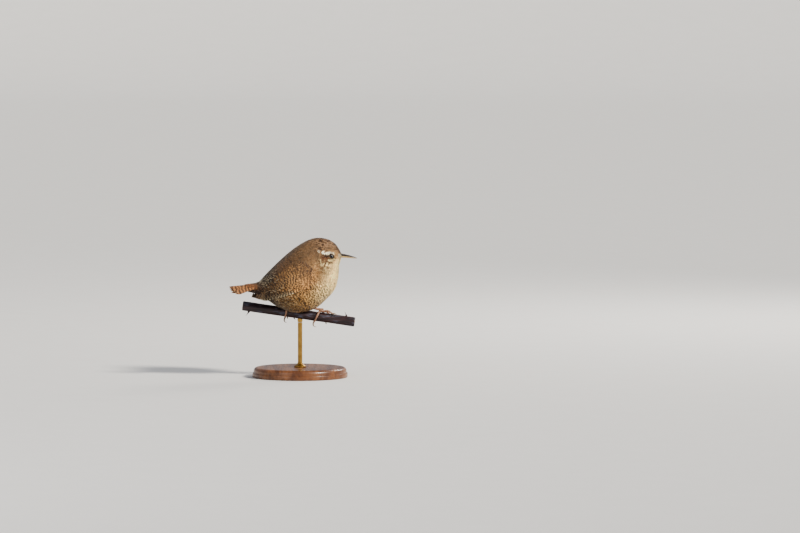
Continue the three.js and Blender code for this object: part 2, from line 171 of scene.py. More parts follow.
def side_at(x, z):
    """How far the body reaches sideways at a place seen from the side, 0 off its outline."""
    def off(u):
        r = spline(STATIONS, u)
        return (r[..., 0] - r[..., 2]) * (z - r[..., 3]) - (r[..., 1] - r[..., 3]) * (x - r[..., 2])
    low, high = np.full(x.shape, EYE), np.ones(x.shape)
    start = off(low)
    missing = start * off(high) > 0
    for _ in range(22):
        middle = (low + high) / 2
        before = start * off(middle) <= 0
        high = np.where(before, middle, high)
        low = np.where(before, low, middle)
    r = spline(STATIONS, low)
    s = np.clip(2 * (z - r[..., 3]) / (r[..., 1] - r[..., 3]) - 1, -1, 1)
    half = mix(r[..., 5], r[..., 4], smooth(s, -0.75, 0.75)) * np.sqrt(1 - s * s)
    return np.where(missing, 0, half)


def wing(side):
    """The folded wing's outer surface: a from the bend to the tip, b from its lower to its upper edge."""
    def surface(a, b):
        low, high = spline(WING_LOWER, a), spline(WING_UPPER, a)
        p = mix(low, high, b[..., None])
        x, z = p[..., 0], p[..., 1]
        out = side_at(x, z)
        tip = WING_TIP_SIDE + 3.2 * (1 - a)
        out = (out + tip + np.sqrt((out - tip) ** 2 + 1.5)) / 2
        proud = WING_PROUD * np.clip(1 - (2 * b - 1) ** 4, 0, 1)
        return np.stack([x, side * (out + proud), z], axis=-1)
    return surface


def tail(a, b):
    """The tail's upper surface: a from its root to its tip, b from -1 on the right to 1 on the left."""
    x = TAIL_START - TAIL_LENGTH * a
    y = TAIL_HALF * b
    z = mix(*TAIL_RIDGE, a) - TAIL_DROP * b**2 * (0.55 + 0.45 * np.clip(a, 0, 1))
    return np.stack([x, y, z], axis=-1)


HEAD_PIVOT = (STATIONS[6, 0] + STATIONS[6, 2]) / 2
HEAD_FULL = (STATIONS[4, 0] + STATIONS[4, 2]) / 2


def place(p, clear=0.0):
    """Bird millimetres to metres in the model's frame. What would sink into the perch is eased out of it."""
    angle = HEAD_TURN * smooth(p[..., 0], HEAD_PIVOT, HEAD_FULL) * smooth(p[..., 2], 18, 34)
    c, s = np.cos(angle), np.sin(angle)
    dx, y = p[..., 0] - HEAD_PIVOT, p[..., 1]
    x, y = HEAD_PIVOT + c * dx - s * y, s * dx + c * y
    c, s = math.cos(BODY_YAW), math.sin(BODY_YAW)
    q = np.stack([c * x - s * y, s * x + c * y, p[..., 2]], axis=-1) + BODY_PLACE
    if clear:
        along = np.array([math.cos(PERCH_FALL), 0, -math.sin(PERCH_FALL)])
        away = q - [0, 0, PERCH_HEIGHT]
        away = away - (away @ along)[..., None] * along
        far = np.linalg.norm(away, axis=-1, keepdims=True)
        q = q + away / np.maximum(far, 1e-9) * np.maximum(PERCH_RADIUS + clear - far, 0)
    return q * 0.001


# Meshes

def mesh_object(name, points, faces, material, slot):
    faces = np.asarray(faces)
    count, sides = faces.shape
    mesh = bpy.data.meshes.new(name)
    mesh.vertices.add(len(points))
    mesh.vertices.foreach_set("co", np.ascontiguousarray(points, dtype=np.float32).ravel())
    mesh.loops.add(count * sides)
    mesh.loops.foreach_set("vertex_index", faces.ravel().astype(np.int32))
    mesh.polygons.add(count)
    mesh.polygons.foreach_set("loop_start", np.arange(0, count * sides, sides, dtype=np.int32))
    mesh.update(calc_edges=True)
    mesh.polygons.foreach_set("use_smooth", np.ones(count, dtype=bool))
    mesh.materials.append(material)
    made = bpy.data.objects.new(name, mesh)
    bpy.context.scene.collection.objects.link(made)
    if slot:
        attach(made, "root")
    return made


def set_values(made, name, values):
    values = np.asarray(values, dtype=np.float32)
    if values.ndim == 1:
        made.data.attributes.new(name, "FLOAT", "POINT").data.foreach_set("value", values)
    elif name == "vane":
        made.data.attributes.new(name, "FLOAT_VECTOR", "POINT").data.foreach_set("vector", values.ravel())
    else:
        colour = np.concatenate([values, np.ones((len(values), 1), np.float32)], axis=1)
        made.data.attributes.new(name, "FLOAT_COLOR", "POINT").data.foreach_set("color", colour.ravel())


def set_map(made, uv):
    corners = np.empty(len(made.data.loops), dtype=np.int32)
    made.data.loops.foreach_get("vertex_index", corners)
    layer = made.data.uv_layers.new(name="OFBake")
    layer.data.foreach_set("uv", np.asarray(uv, dtype=np.float32)[corners].ravel())


def grid_faces(rows, columns, wrap=False):
    """Quads over a grid of points, facing out where row x column points out."""
    i, j = np.meshgrid(np.arange(rows - 1), np.arange(columns if wrap else columns - 1), indexing="ij")
    i, j = i.ravel(), j.ravel()
    k = (j + 1) % columns
    return np.stack([i * columns + j, (i + 1) * columns + j, (i + 1) * columns + k, i * columns + k], axis=1)


def cut_quads(quads):
    """Each quad as two triangles."""
    return np.vstack([quads[:, [0, 1, 2]], quads[:, [0, 2, 3]]])


def closed_faces(rows, columns, turned=False):
    """A tube of rows of points that closes onto two more points, one before and one after its rows."""
    n = rows * columns
    j = np.arange(columns)
    k = (j + 1) % columns
    quads = grid_faces(rows, columns, wrap=True)
    first = np.stack([np.full(columns, n), j, k], axis=1)
    last = np.stack([np.full(columns, n + 1), n - columns + k, n - columns + j], axis=1)
    if turned:
        quads, first, last = quads[:, ::-1], first[:, ::-1], last[:, ::-1]
    return np.vstack([cut_quads(quads), first, last])


def sweep(line, radii, sides, squash=1.0):
    """A closed limb along a line of points, in metres, with radii in metres."""
    line = np.asarray(line, float)
    radii = np.broadcast_to(np.asarray(radii, float), (len(line),))
    along = unit(np.gradient(line, axis=0))
    first = np.array([0, 0, 1.0]) if abs(along[0, 2]) < 0.8 else np.array([0, 1.0, 0])
    side = np.empty_like(line)
    for i, a in enumerate(along):
        first = unit(first - a * (first @ a))
        side[i] = first
    across = np.cross(along, side)
    turn = np.linspace(0, 2 * np.pi, sides, endpoint=False)
    r = radii[:, None]
    ring = (
        line[:, None]
        + side[:, None] * (r * np.cos(turn) * squash)[..., None]
        + across[:, None] * (r * np.sin(turn))[..., None]
    )
    ends = [line[0] - along[0] * radii[0] * 0.6, line[-1] + along[-1] * radii[-1] * 0.6]
    return np.vstack([ring.reshape(-1, 3), ends]), closed_faces(len(line), sides, turned=True)


def join(parts):
    """Several (points, faces) as one."""
    points, faces, count = [], [], 0
    for p, f in parts:
        points.append(p)
        faces.append(np.asarray(f) + count)
        count += len(p)
    return np.vstack(points), np.vstack(faces)


# Colours are given as in a paint box, 0 to 255, and used as light

def paint(*rgb):
    c = np.array(rgb, float) / 255
    return np.where(c <= 0.04045, c / 12.92, ((c + 0.055) / 1.055) ** 2.4)


CROWN_BROWN = paint(142, 112, 84)
MANTLE_BROWN = paint(116, 90, 64)
BACK_BROWN = paint(112, 82, 54)
RUMP_RUFOUS = paint(148, 98, 62)
FLANK_GOLD = paint(190, 142, 90)
BELLY_GOLD = paint(180, 138, 84)
# Brown of the vent, partly its own colour and partly painted shade under the tail
VENT_SHADED_BROWN = paint(68, 51, 36)
BREAST_BUFF = paint(246, 215, 156)
THROAT_BUFF = paint(240, 216, 160)
PALE = paint(250, 236, 206)
CHEEK = paint(168, 132, 90)
STRIPE_DARK = paint(62, 38, 24)
BAR_DARK = paint(36, 22, 15)
WING_BROWN = paint(154, 116, 74)
TAIL_BROWN = paint(152, 106, 68)
SPOT_PALE = paint(240, 222, 184)
# Brown of the hind back, darkened as painted shade of the rear
REAR_SHADED_BROWN = paint(52, 37, 27)
EAR_BROWN = paint(104, 66, 44)


def near_line(x, z, points, reach):
    """1 on a broken line seen from the side, falling to 0 at its reach."""
    best = np.full(x.shape, 1e9)
    for (x1, z1), (x2, z2) in zip(points, points[1:]):
        dx, dz = x2 - x1, z2 - z1
        k = np.clip(((x - x1) * dx + (z - z1) * dz) / (dx * dx + dz * dz), 0, 1)
        best = np.minimum(best, np.hypot(x - x1 - k * dx, z - z1 - k * dz))
    return 1 - smooth(best, reach * 0.55, reach)


# Marks on the face, in millimetres forwards of and above the middle of the eye
BROW_LINE = [(1.6, 2.0), (-0.6, 2.4), (-3.0, 2.5), (-5.0, 3.0), (-6.6, 3.6)]
BROW_BACK = [(-6.6, 3.6), (-10.0, 4.3)]
LORE_PATCH = [(6.2, 1.2), (7.3, -0.4)]
LORE_SPOT = [(2.9, -0.7), (3.3, -0.9)]
EYE_STRIPE = [(-2.2, 0.6), (-4.2, 1.2), (-6.2, 1.8)]
EAR_PATCH = [(-3.8, -0.8), (-7.2, -0.6)]
UNDER_EYE = [(2.4, -1.5), (0.6, -2.5), (-1.7, -2.2)]
CHEEK_SPOTS = [[(-6.4, -4.2), (-7.0, -5.2)], [(-2.9, -4.4), (-3.3, -5.4)], [(-4.8, -7.0), (-5.8, -7.7)],
               [(-9.0, -1.6), (-8.7, -5.2)]]
CHEEK_DARKS = [[(-3.3, -6.1), (-2.5, -6.6)], [(-10.6, -2.6), (-10.4, -5.6)], [(-1.2, -3.9), (0.8, -4.3)]]


def plumage(p, u, phi):
    """The coat's colour and how strongly it is barred, from a place on the body."""
    d = np.cos(phi)
    x, y, z = p[..., 0], np.abs(p[..., 1]), p[..., 2]
    top = smooth(d, 0.05, 0.75)
    under = smooth(-d, 0.0, 0.62)

    def along(colours):
        stops = np.linspace(0, 1, len(colours))
        return np.stack([np.interp(u, stops, [c[k] for c in colours]) for k in range(3)], axis=-1)

    # Ten colours from the bill to the tail along the back, the sides and the underside. Towards the rear the
    # back, the flanks and the belly turn much darker: painted shade of the rear, which lies away from the
    # light. The vent's dark brown is partly its own colour and partly painted shade.
    upper = along([CROWN_BROWN * 0.55, CROWN_BROWN * 0.7, CROWN_BROWN, CROWN_BROWN, MANTLE_BROWN,
                   MANTLE_BROWN * 0.9, BACK_BROWN, REAR_SHADED_BROWN, REAR_SHADED_BROWN, RUMP_RUFOUS])
    sides = along([THROAT_BUFF, CHEEK, CHEEK, mix(CHEEK, MANTLE_BROWN, 0.85),
                   mix(FLANK_GOLD, MANTLE_BROWN, 0.9), FLANK_GOLD * 0.85, FLANK_GOLD * 0.75,
                   FLANK_GOLD * 0.42, VENT_SHADED_BROWN, RUMP_RUFOUS * 0.8])
    below = along([THROAT_BUFF, THROAT_BUFF, THROAT_BUFF, BREAST_BUFF, BREAST_BUFF, BREAST_BUFF * 0.92,
                   BELLY_GOLD, BELLY_GOLD * 0.4, VENT_SHADED_BROWN, VENT_SHADED_BROWN])
    colour = mix(mix(sides, upper, top[..., None]), below, under[..., None])
    blotch = noise(p, 0.09, 3)
    colour = colour * (1 + 0.10 * blotch)[..., None]

    head = 1 - smooth(u, CROWN, NAPE + 0.02)
    ex, ez = x - EYE_PLACE[0], z - EYE_PLACE[2]
    wobble = 0.3 * noise(p, 0.35, 5)
    mottle = np.clip(noise(p, 0.40, 9), -1, 1)
    # Dark and pale flecks over the crown, the cheek and the side of the neck.
    on_head = 1 - smooth(u, CROWN, MANTLE)
    cheek = smooth(-ez, -0.5, 2.5) * smooth(-d, -0.75, -0.3) * (1 - under * 0.7) * on_head
    crown = smooth(d, 0.2, 0.6) * head
    colour = mix(colour, mix(colour, BREAST_BUFF, 0.6), (cheek * smooth(mottle, 0.1, 0.6))[..., None])
    colour = mix(colour, STRIPE_DARK * 1.4, (cheek * 0.6 * smooth(-mottle, 0.1, 0.7))[..., None])
    colour = mix(colour, STRIPE_DARK * 0.8, (crown * 0.85 * smooth(mottle, 0.0, 0.35))[..., None])
    marks = [
        (EAR_PATCH, 2.0, EAR_BROWN, 0.85),
        (EYE_STRIPE, 0.95, STRIPE_DARK, 0.95),
        (LORE_SPOT, 0.85, STRIPE_DARK, 0.7),
        (BROW_LINE, 1.15, PALE, 1.0),
        (LORE_PATCH, 1.15, PALE, 0.7),
        (UNDER_EYE, 0.95, THROAT_BUFF, 0.9),
    ]
    marks += [(spot, 1.0, THROAT_BUFF, 0.8) for spot in CHEEK_SPOTS]
    marks += [(spot, 0.95, STRIPE_DARK, 0.6) for spot in CHEEK_DARKS]
    for line, reach, shade, strength in marks:
        on = near_line(ex, ez + wobble, line, reach) * strength * (1 - under * 0.6)
        colour = mix(colour, shade, (on * on_head)[..., None])
    back_of_brow = near_line(ex, ez + wobble, BROW_BACK, 1.2) * smooth(mottle, -0.5, 0.3)
    colour = mix(colour, PALE, (back_of_brow * 0.7)[..., None])

    start = mix(mix(0.46, 0.42, top), 0.43, under)
    bars = smooth(u, start, start + 0.12 + 0.10 * top) * mix(mix(1.0, 0.7, top), 1.0, under)
    bars = np.maximum(bars, 0.18 * (1 - head))
    return np.clip(colour, 0, 1), bars


# How far each place is from the bill along the coat, in millimetres, for the bars

FLOW_END = 1.25
FLOW_ROWS, FLOW_COLUMNS = 125, 72


def make_flow():
    u = np.linspace(0, FLOW_END, FLOW_ROWS + 1)
    phi = np.linspace(-np.pi, np.pi, FLOW_COLUMNS + 1)
    spots = body(*np.meshgrid(u, phi, indexing="ij"))
    run = np.cumsum(np.linalg.norm(np.diff(spots, axis=0), axis=-1), axis=0)
    return np.concatenate([np.zeros((1, FLOW_COLUMNS + 1)), run])


FLOW = make_flow()


def flow_at(u, phi):
    i = np.clip(u / FLOW_END * FLOW_ROWS, 0, FLOW_ROWS - 0.001)
    j = np.clip((phi + np.pi) / (2 * np.pi) * FLOW_COLUMNS, 0, FLOW_COLUMNS - 0.001)
    i0, j0 = i.astype(int), j.astype(int)
    a, b = i - i0, j - j0
    return mix(mix(FLOW[i0, j0], FLOW[i0, j0 + 1], b), mix(FLOW[i0 + 1, j0], FLOW[i0 + 1, j0 + 1], b), a)


def slopes(surface, p, q, step=1e-3):
    dp = (surface(p + step, q) - surface(p - step, q)) / (2 * step)
    dq = (surface(p, q + step) - surface(p, q - step)) / (2 * step)
    return dp, dq


def shift(dp, dq, way):
    """The change of the two surface coordinates that moves a place by a vector in its tangent plane."""
    e, f, g = (dp * dp).sum(-1), (dp * dq).sum(-1), (dq * dq).sum(-1)
    r, s = (way * dp).sum(-1), (way * dq).sum(-1)
    det = np.maximum(e * g - f * f, 1e-6)
    return np.stack([(g * r - f * s) / det, (e * s - f * r) / det], axis=-1)


# Feathers

def vane_faces(nt, ns):
    """Top grid, then an under side that hangs on the same rim: one closed leaf."""
    top = grid_faces(nt, ns)
    faces = [top[:, [0, 1, 2]], top[:, [0, 2, 3]]]
    under = nt * ns
    i = np.arange(nt - 1)
    left, right = i * ns, i * ns + ns - 1
    faces += [
        np.stack([left, under + i + 1, left + ns], axis=1),
        np.stack([left, under + i, under + i + 1], axis=1),
        np.stack([right, right + ns, under + i + 1], axis=1),
        np.stack([right, under + i + 1, under + i], axis=1),
    ]
    j = np.arange(ns - 1)
    tip = (nt - 1) * ns
    faces.append(np.stack([tip + j, np.full(ns - 1, under + nt - 1), tip + j + 1], axis=1))
    faces.append(np.stack([j, j + 1, np.full(ns - 1, under)], axis=1))
    return np.vstack(faces)


def grow(surface, outward, centre, length, width, low, high, ragged, ns, thick, camber, blunt, rise=1.7,
         base=0.4, split=0.0, tip=0.37):
    """Feathers along paths on a surface.

    centre is (feathers, rows, 2) in the surface's coordinates; length, width, low and high are one per
    feather in millimetres: low is how deep the root lies and high how far the tip stands out.
    """
    n, nt = centre.shape[:2]
    t = np.linspace(0, 1, nt)
    s = np.linspace(-1, 1, ns)
    p, q = centre[..., 0], centre[..., 1]
    spot = surface(p, q)
    dp, dq = slopes(surface, p, q)
    normal = unit(np.cross(dq, dp)) * outward
    way = np.gradient(spot, axis=1)
    way = unit(way - normal * (way * normal).sum(-1, keepdims=True))
    across = np.cross(normal, way)

    profile = base + (1 - base) * np.sin(np.pi / 2 * np.minimum(t / blunt, 1))
    closing = np.sqrt(1 - (1 - tip**2) * (np.clip(t - blunt, 0, 1) / (1 - blunt)) ** 2.2)
    half = width[:, None, None] / 2 * (profile * closing)[None, :, None] * s
    notch = 1 - ragged * rng.random((n, nt, ns)) * (np.abs(s) > 0.9)
    reach = half * notch
    moved = shift(dp, dq, across)
    place_p = p[..., None] + moved[..., None, 0] * reach
    place_q = q[..., None] + moved[..., None, 1] * reach
    lift = low[:, None] + (high - low)[:, None] * (1 - (1 - t) ** rise)
    height = lift[..., None] - camber * s**2 * (width[:, None, None] / 2.4) + 0.05 * (np.abs(s) < 0.1)
    points = surface(place_p, place_q) + normal[:, :, None] * height[..., None]
    # Every other barb is short at the tip, so that the tip is frayed.
    short = (np.arange(ns) - ns // 2) % 2
    frayed = (split * short + ragged * 0.5) * rng.uniform(0.4, 1.3, (n, ns))
    cut = 0.35 * s**2 * width[:, None] + frayed * np.minimum(length, 2.2 * width)[:, None]
    back = -(t**3)[None, :, None] * np.minimum(cut, 0.3 * length[:, None])[:, None]
    points = points + way[:, :, None] * back[..., None]
    body_thick = thick * np.sin(np.pi * np.clip(t, 0.04, 0.96)) ** 0.5
    spine = points[:, :, ns // 2] - normal * body_thick[None, :, None]
    up = np.concatenate([np.repeat(normal, ns, axis=1), normal], axis=1)

    points = np.concatenate([points.reshape(n, nt * ns, 3), spine], axis=1)
    t_all = np.concatenate([np.repeat(t, ns), t])
    s_all = np.concatenate([np.tile(s, nt), np.zeros(nt)])
    along = t_all[None] * length[:, None]
    along = along + np.concatenate([back.reshape(n, -1), back[:, :, ns // 2]], axis=1)
    return {
        "points": points,
        "faces": vane_faces(nt, ns),
        "tops": 2 * (nt - 1) * (ns - 1),
        "up": up,
        "along": along,
        "t": np.broadcast_to(t_all, along.shape),
        "s": np.broadcast_to(s_all, along.shape),
        "width": width,
        "root": centre[:, 0],
        "spot": spot[:, 0],
    }


def coat_piece(name, parts, material, slot, clear=0.12, soft=0.0):
    """Joins feathers into one mesh with their colours and their map. Each part has colours per vertex,
    its feathers' places on the map and the size of one feather there.

    soft is how far the upper sides' shading leans to that of the body below.
    """
    points, faces, ups, tops, count = [], [], [], [], 0
    values = {"tint": [], "flow": [], "bars": [], "vane": [], "uv": []}
    for part in parts:
        n, m = part["points"].shape[:2]
        points.append(part["points"].reshape(-1, 3))
        ups.append(part["up"].reshape(-1, 3))
        faces.append((part["faces"][None] + (count + np.arange(n) * m)[:, None, None]).reshape(-1, 3))
        tops.append(np.tile(np.arange(len(part["faces"])) < part["tops"], n))
        count += n * m
        values["tint"].append(part["tint"].reshape(-1, 3))
        values["flow"].append(part["flow"].ravel())
        values["bars"].append(part["bars"].ravel())
        side = part["s"] * part["width"][:, None] / 2
        seed = np.broadcast_to(rng.random(n)[:, None] * 50, side.shape)
        values["vane"].append(np.stack([part["along"], side, seed], axis=-1).reshape(-1, 3))
        leaf = np.stack([0.5 * part["s"], part["t"] - 0.5 + 0.02 * part["s"]], axis=-1)
        values["uv"].append((part["map"][:, None] + leaf * np.array(part["cell"])).reshape(-1, 2))
    points, ups = np.vstack(points), np.vstack(ups)
    made = mesh_object(name, place(points, clear), np.vstack(faces), material, slot)
    made.data.set_sharp_from_angle(angle=math.radians(75))
    if soft:
        corners = np.empty(len(made.data.loops), dtype=np.int32)
        made.data.loops.foreach_get("vertex_index", corners)
        own = np.empty(len(corners) * 3, dtype=np.float32)
        made.data.corner_normals.foreach_get("vector", own)
        own = own.reshape(-1, 3)
        lean = unit(place(points + 0.1 * ups) - place(points))[corners]
        upper = np.repeat(np.concatenate(tops), 3)[:, None]
        made.data.normals_split_custom_set(np.where(upper, unit(mix(own, lean, soft)), own))
    for key in ("tint", "flow", "bars", "vane"):
        set_values(made, key, np.concatenate(values[key]))
    set_map(made, np.concatenate(values["uv"]))
    return made


def eye_gap(p):
    """Distance from the nearer eye's middle."""
    mirrored = p * [1, 0, 1] + np.abs(p) * [0, 1, 0]
    return np.linalg.norm(mirrored - EYE_PLACE, axis=-1)


def lay(p, dp, dq):
    """The way the coat lies on the body: from the bill backwards, parting round the eyes."""
    way = unit(dp)
    centre = np.where(p[..., 1:2] > 0, 1.0, -1.0) * [0, 1, 0] * EYE_PLACE + EYE_PLACE * [1, 0, 1]
    normal = unit(np.cross(dq, dp))
    away = p - centre
    away = away - normal * (away * normal).sum(-1, keepdims=True)
    far = np.maximum(np.linalg.norm(away, axis=-1, keepdims=True), 1e-6)
    out = away / far
    part = np.clip(EYE_PARTING / far, 0, 1) ** 2
    return unit(way - part * (2 * (way * out).sum(-1, keepdims=True) * out - way))


def path_on_body(u, phi, length, nt, stray):
    centre = np.empty((len(u), nt, 2))
    centre[:, 0] = np.stack([u, phi], axis=1)
    for i in range(1, nt):
        a, b = centre[:, i - 1, 0], centre[:, i - 1, 1]
        dp, dq = slopes(body, a, b)
        way = lay(body(a, b), dp, dq)
        normal = unit(np.cross(dq, dp))
        way = way * np.cos(stray)[:, None] + np.cross(normal, way) * np.sin(stray)[:, None]
        centre[:, i] = centre[:, i - 1] + shift(dp, dq, way * (length / (nt - 1))[:, None])
    return centre


def rows_on_body(start, stop):
    """Roots in staggered rows round the body."""
    roots = []
    u = start
    odd = 0
    ring = np.linspace(-np.pi, np.pi, 257)
    while u < stop:
        gap = np.interp(u, *COAT_SPACING)
        loop = body(np.full(257, u), ring)
        run = np.concatenate([[0], np.cumsum(np.linalg.norm(np.diff(loop, axis=0), axis=1))])
        count = max(8, int(round(run[-1] / gap)))
        at = (np.arange(count) + 0.5 * odd + rng.uniform(-0.22, 0.22, count)) / count * run[-1]
        phi = np.interp(np.mod(at, run[-1]), run, ring)
        speed = np.linalg.norm(body(u + 1e-3, ring) - body(u - 1e-3, ring), axis=1).mean() / 2e-3
        step = gap * 0.86 / speed
        roots.append(np.stack([u + rng.uniform(-0.25, 0.25, count) * step, phi], axis=1))
        u += step
        odd = 1 - odd
    return np.vstack(roots)


WING_RIM = np.vstack([spline(WING_LOWER, np.linspace(0, 1, 24)), spline(WING_UPPER, np.linspace(1, 0, 24))])


def in_wing(x, z):
    """Signed distance inside the folded wing's outline seen from the side."""
    best = np.full(x.shape, 1e9)
    inside = np.zeros(x.shape, bool)
    for (x1, z1), (x2, z2) in zip(WING_RIM, np.roll(WING_RIM, -1, axis=0)):
        dx, dz = x2 - x1, z2 - z1
        k = np.clip(((x - x1) * dx + (z - z1) * dz) / (dx * dx + dz * dz + 1e-12), 0, 1)
        best = np.minimum(best, np.hypot(x - x1 - k * dx, z - z1 - k * dz))
        if abs(dz) > 1e-9:
            inside ^= ((z1 > z) != (z2 > z)) & (x < dx * (z - z1) / dz + x1)
    return np.where(inside, best, -best)


def colour_body(part):
    """Colours for feathers on the body: one tone a feather, barred along it, darker at its root as painted
    shade.
    """
    u, phi = part["root"].T
    n, m = part["along"].shape
    # The colour is read a little behind the root, where the feather shows.
    tint, bars = plumage(part["points"][:, m // 2], np.minimum(u + 0.02, 1), phi)
    on_head = 1 - smooth(u, CROWN, MANTLE)
    shade = 1 + rng.normal(0, 1, n) * mix(0.08, 0.17, on_head)
    warm = rng.normal(0, 0.03, n)
    tint = tint * np.stack([shade + warm, shade, shade - warm], axis=1)
    # Painted shade: each feather darkens towards its root, where the feathers over it would shade it;
    # towards its tip it turns a little paler.
    deep = mix(0.64, 1.0, smooth(part["t"], 0.1, 0.7)) + 0.18 * smooth(part["t"], 0.8, 1.0)
    tint = tint[:, None] * deep[..., None]
    # Many feathers of the hind back end in a small pale spot.
    spotted = smooth(u, BACK, LOWER_BACK) * (1 - smooth(u, RUMP, COVERTS)) * (rng.random(n) < SPOTTED_SHARE)
    spot = smooth(part["t"], 0.72, 0.86) * (1 - smooth(np.abs(part["s"]), 0.3, 0.8)) * spotted[:, None]
    tint = mix(tint, SPOT_PALE, 0.36 * spot[..., None])
    part["tint"] = np.clip(tint, 0, 1)
    jitter = rng.normal(0, 0.16, n)
    curve = 0.30 * part["s"] ** 2
    part["flow"] = (flow_at(u, phi)[:, None] + part["along"]) / BAR_LENGTH + jitter[:, None] + curve
    part["bars"] = bars[:, None] * mix(0.8, 1.0, smooth(part["t"], 0.3, 0.8)) * (1 - 0.8 * spot)
    return part


# Materials

class Nodes:
    """Short ways to make and link a material's nodes."""

    def __init__(self, name):
        self.material = bpy.data.materials.new(name)
        self.material.use_nodes = True
        self.tree = self.material.node_tree
        self.tree.nodes.clear()
        self.out = self.tree.nodes.new("ShaderNodeOutputMaterial")
        self.shader = self.tree.nodes.new("ShaderNodeBsdfPrincipled")
        self.link(self.shader.outputs[0], self.out.inputs[0])
        self.place = self.tree.nodes.new("ShaderNodeTexCoord").outputs["Object"]

    def link(self, source, socket):
        self.tree.links.new(source, socket)

    def fill(self, socket, value):
        if isinstance(value, bpy.types.NodeSocket):
            self.link(value, socket)
        elif isinstance(value, (np.ndarray, tuple)):
            value = tuple(float(v) for v in value)
            socket.default_value = value + (1.0,) if socket.type == "RGBA" and len(value) == 3 else value
        else:
            socket.default_value = value

    def set(self, **values):
        names = {"color": "Base Color", "roughness": "Roughness", "normal": "Normal", "metallic": "Metallic",
                 "sheen": "Sheen Weight", "sheen_roughness": "Sheen Roughness", "coat": "Coat Weight",
                 "coat_roughness": "Coat Roughness", "ior": "IOR", "specular": "Specular IOR Level",
                 "subsurface": "Subsurface Weight"}
        for key, value in values.items():
            self.fill(self.shader.inputs[names[key]], value)
        return self.material

    def attribute(self, name, kind="Fac"):
        node = self.tree.nodes.new("ShaderNodeAttribute")
        node.attribute_name = name
        return node.outputs[kind]

    def math(self, what, a, b=0.0):
        node = self.tree.nodes.new("ShaderNodeMath")
        node.operation = what
        for socket, value in zip(node.inputs, (a, b)):
            self.fill(socket, value)
        return node.outputs[0]

    def noise(self, vector, scale, detail=3.0, rough=0.5, distortion=0.0):
        node = self.tree.nodes.new("ShaderNodeTexNoise")
        self.fill(node.inputs["Vector"], vector)
        node.inputs["Scale"].default_value = scale
        node.inputs["Detail"].default_value = detail
        node.inputs["Roughness"].default_value = rough
        node.inputs["Distortion"].default_value = distortion
        return node.outputs[0]

    def voronoi(self, vector, scale):
        node = self.tree.nodes.new("ShaderNodeTexVoronoi")
        self.fill(node.inputs["Vector"], vector)
        node.inputs["Scale"].default_value = scale
        return node.outputs["Distance"]

    def steps(self, value, low, high, to_low=0.0, to_high=1.0, smooth_step=True):
        node = self.tree.nodes.new("ShaderNodeMapRange")
        node.interpolation_type = "SMOOTHSTEP" if smooth_step else "LINEAR"
        for socket, v in zip(node.inputs, (value, low, high, to_low, to_high)):
            self.fill(socket, v)
        return node.outputs[0]

    def mix(self, factor, a, b, how="MIX"):
        node = self.tree.nodes.new("ShaderNodeMix")
        node.data_type = "RGBA"
        node.blend_type = how
        self.fill(node.inputs["Factor"], factor)
        sockets = [s for s in node.inputs if s.type == "RGBA"]
        self.fill(sockets[0], a)
        self.fill(sockets[1], b)
        return [s for s in node.outputs if s.type == "RGBA"][0]

    def scaled(self, vector, x, y, z):
        node = self.tree.nodes.new("ShaderNodeVectorMath")
        node.operation = "MULTIPLY"
        self.fill(node.inputs[0], vector)
        self.fill(node.inputs[1], (x, y, z))
        return node.outputs[0]

    def bump(self, height, strength, distance):
        node = self.tree.nodes.new("ShaderNodeBump")
        node.inputs["Strength"].default_value = strength
        node.inputs["Distance"].default_value = distance
        self.fill(node.inputs["Height"], height)
        return node.outputs[0]


def feather_material(name, sheen, gloss, sharp, waver):
    """sharp is how soft the bars' edges are and waver how far the bars stray."""
    m = Nodes(name)
    vane = m.attribute("vane", "Vector")
    flow = m.attribute("flow")
    wobble = m.math("MULTIPLY", m.math("SUBTRACT", m.noise(m.place, 330, 3.0, 0.6), 0.5), waver)
    wave = m.math("SINE", m.math("MULTIPLY", m.math("ADD", flow, wobble), 2 * math.pi))
    broken = m.math("MULTIPLY", m.math("SUBTRACT", m.noise(m.place, 800, 2.0), 0.5), 1.2)
    wave = m.math("ADD", wave, broken)
    band = m.steps(wave, 0.12 - sharp, 0.12 + sharp)
    tint = m.attribute("tint", "Color")
    barb = m.noise(m.scaled(vane, 1.6, 11.0, 1.0), 1.0, 2.0)
    fleck = m.noise(m.place, 2600, 2.0)
    tone = m.steps(barb, 0.25, 0.75, 0.86, 1.14, smooth_step=False)
    tone = m.math("MULTIPLY", tone, m.steps(fleck, 0.2, 0.8, 0.9, 1.1, smooth_step=False))
    shaded = m.mix(1.0, tint, tone, "MULTIPLY")
    amount = m.math("MULTIPLY", band, m.attribute("bars"))
    colour = m.mix(amount, shaded, m.mix(0.08, BAR_DARK, shaded))
    height = m.math("ADD", barb, m.math("MULTIPLY", fleck, 0.3))
    normal = m.bump(height, 0.35, 0.00012)
    rough = m.steps(barb, 0.2, 0.8, 0.62, 0.8, smooth_step=False)
    return m.set(color=colour, roughness=rough, normal=normal, sheen=sheen, sheen_roughness=0.45,
                 specular=gloss)


coat_look = feather_material("coat", sheen=0.25, gloss=0.3, sharp=0.30, waver=2.8)
flight_look = feather_material("flight_feathers", sheen=0.12, gloss=0.38, sharp=0.22, waver=1.5)
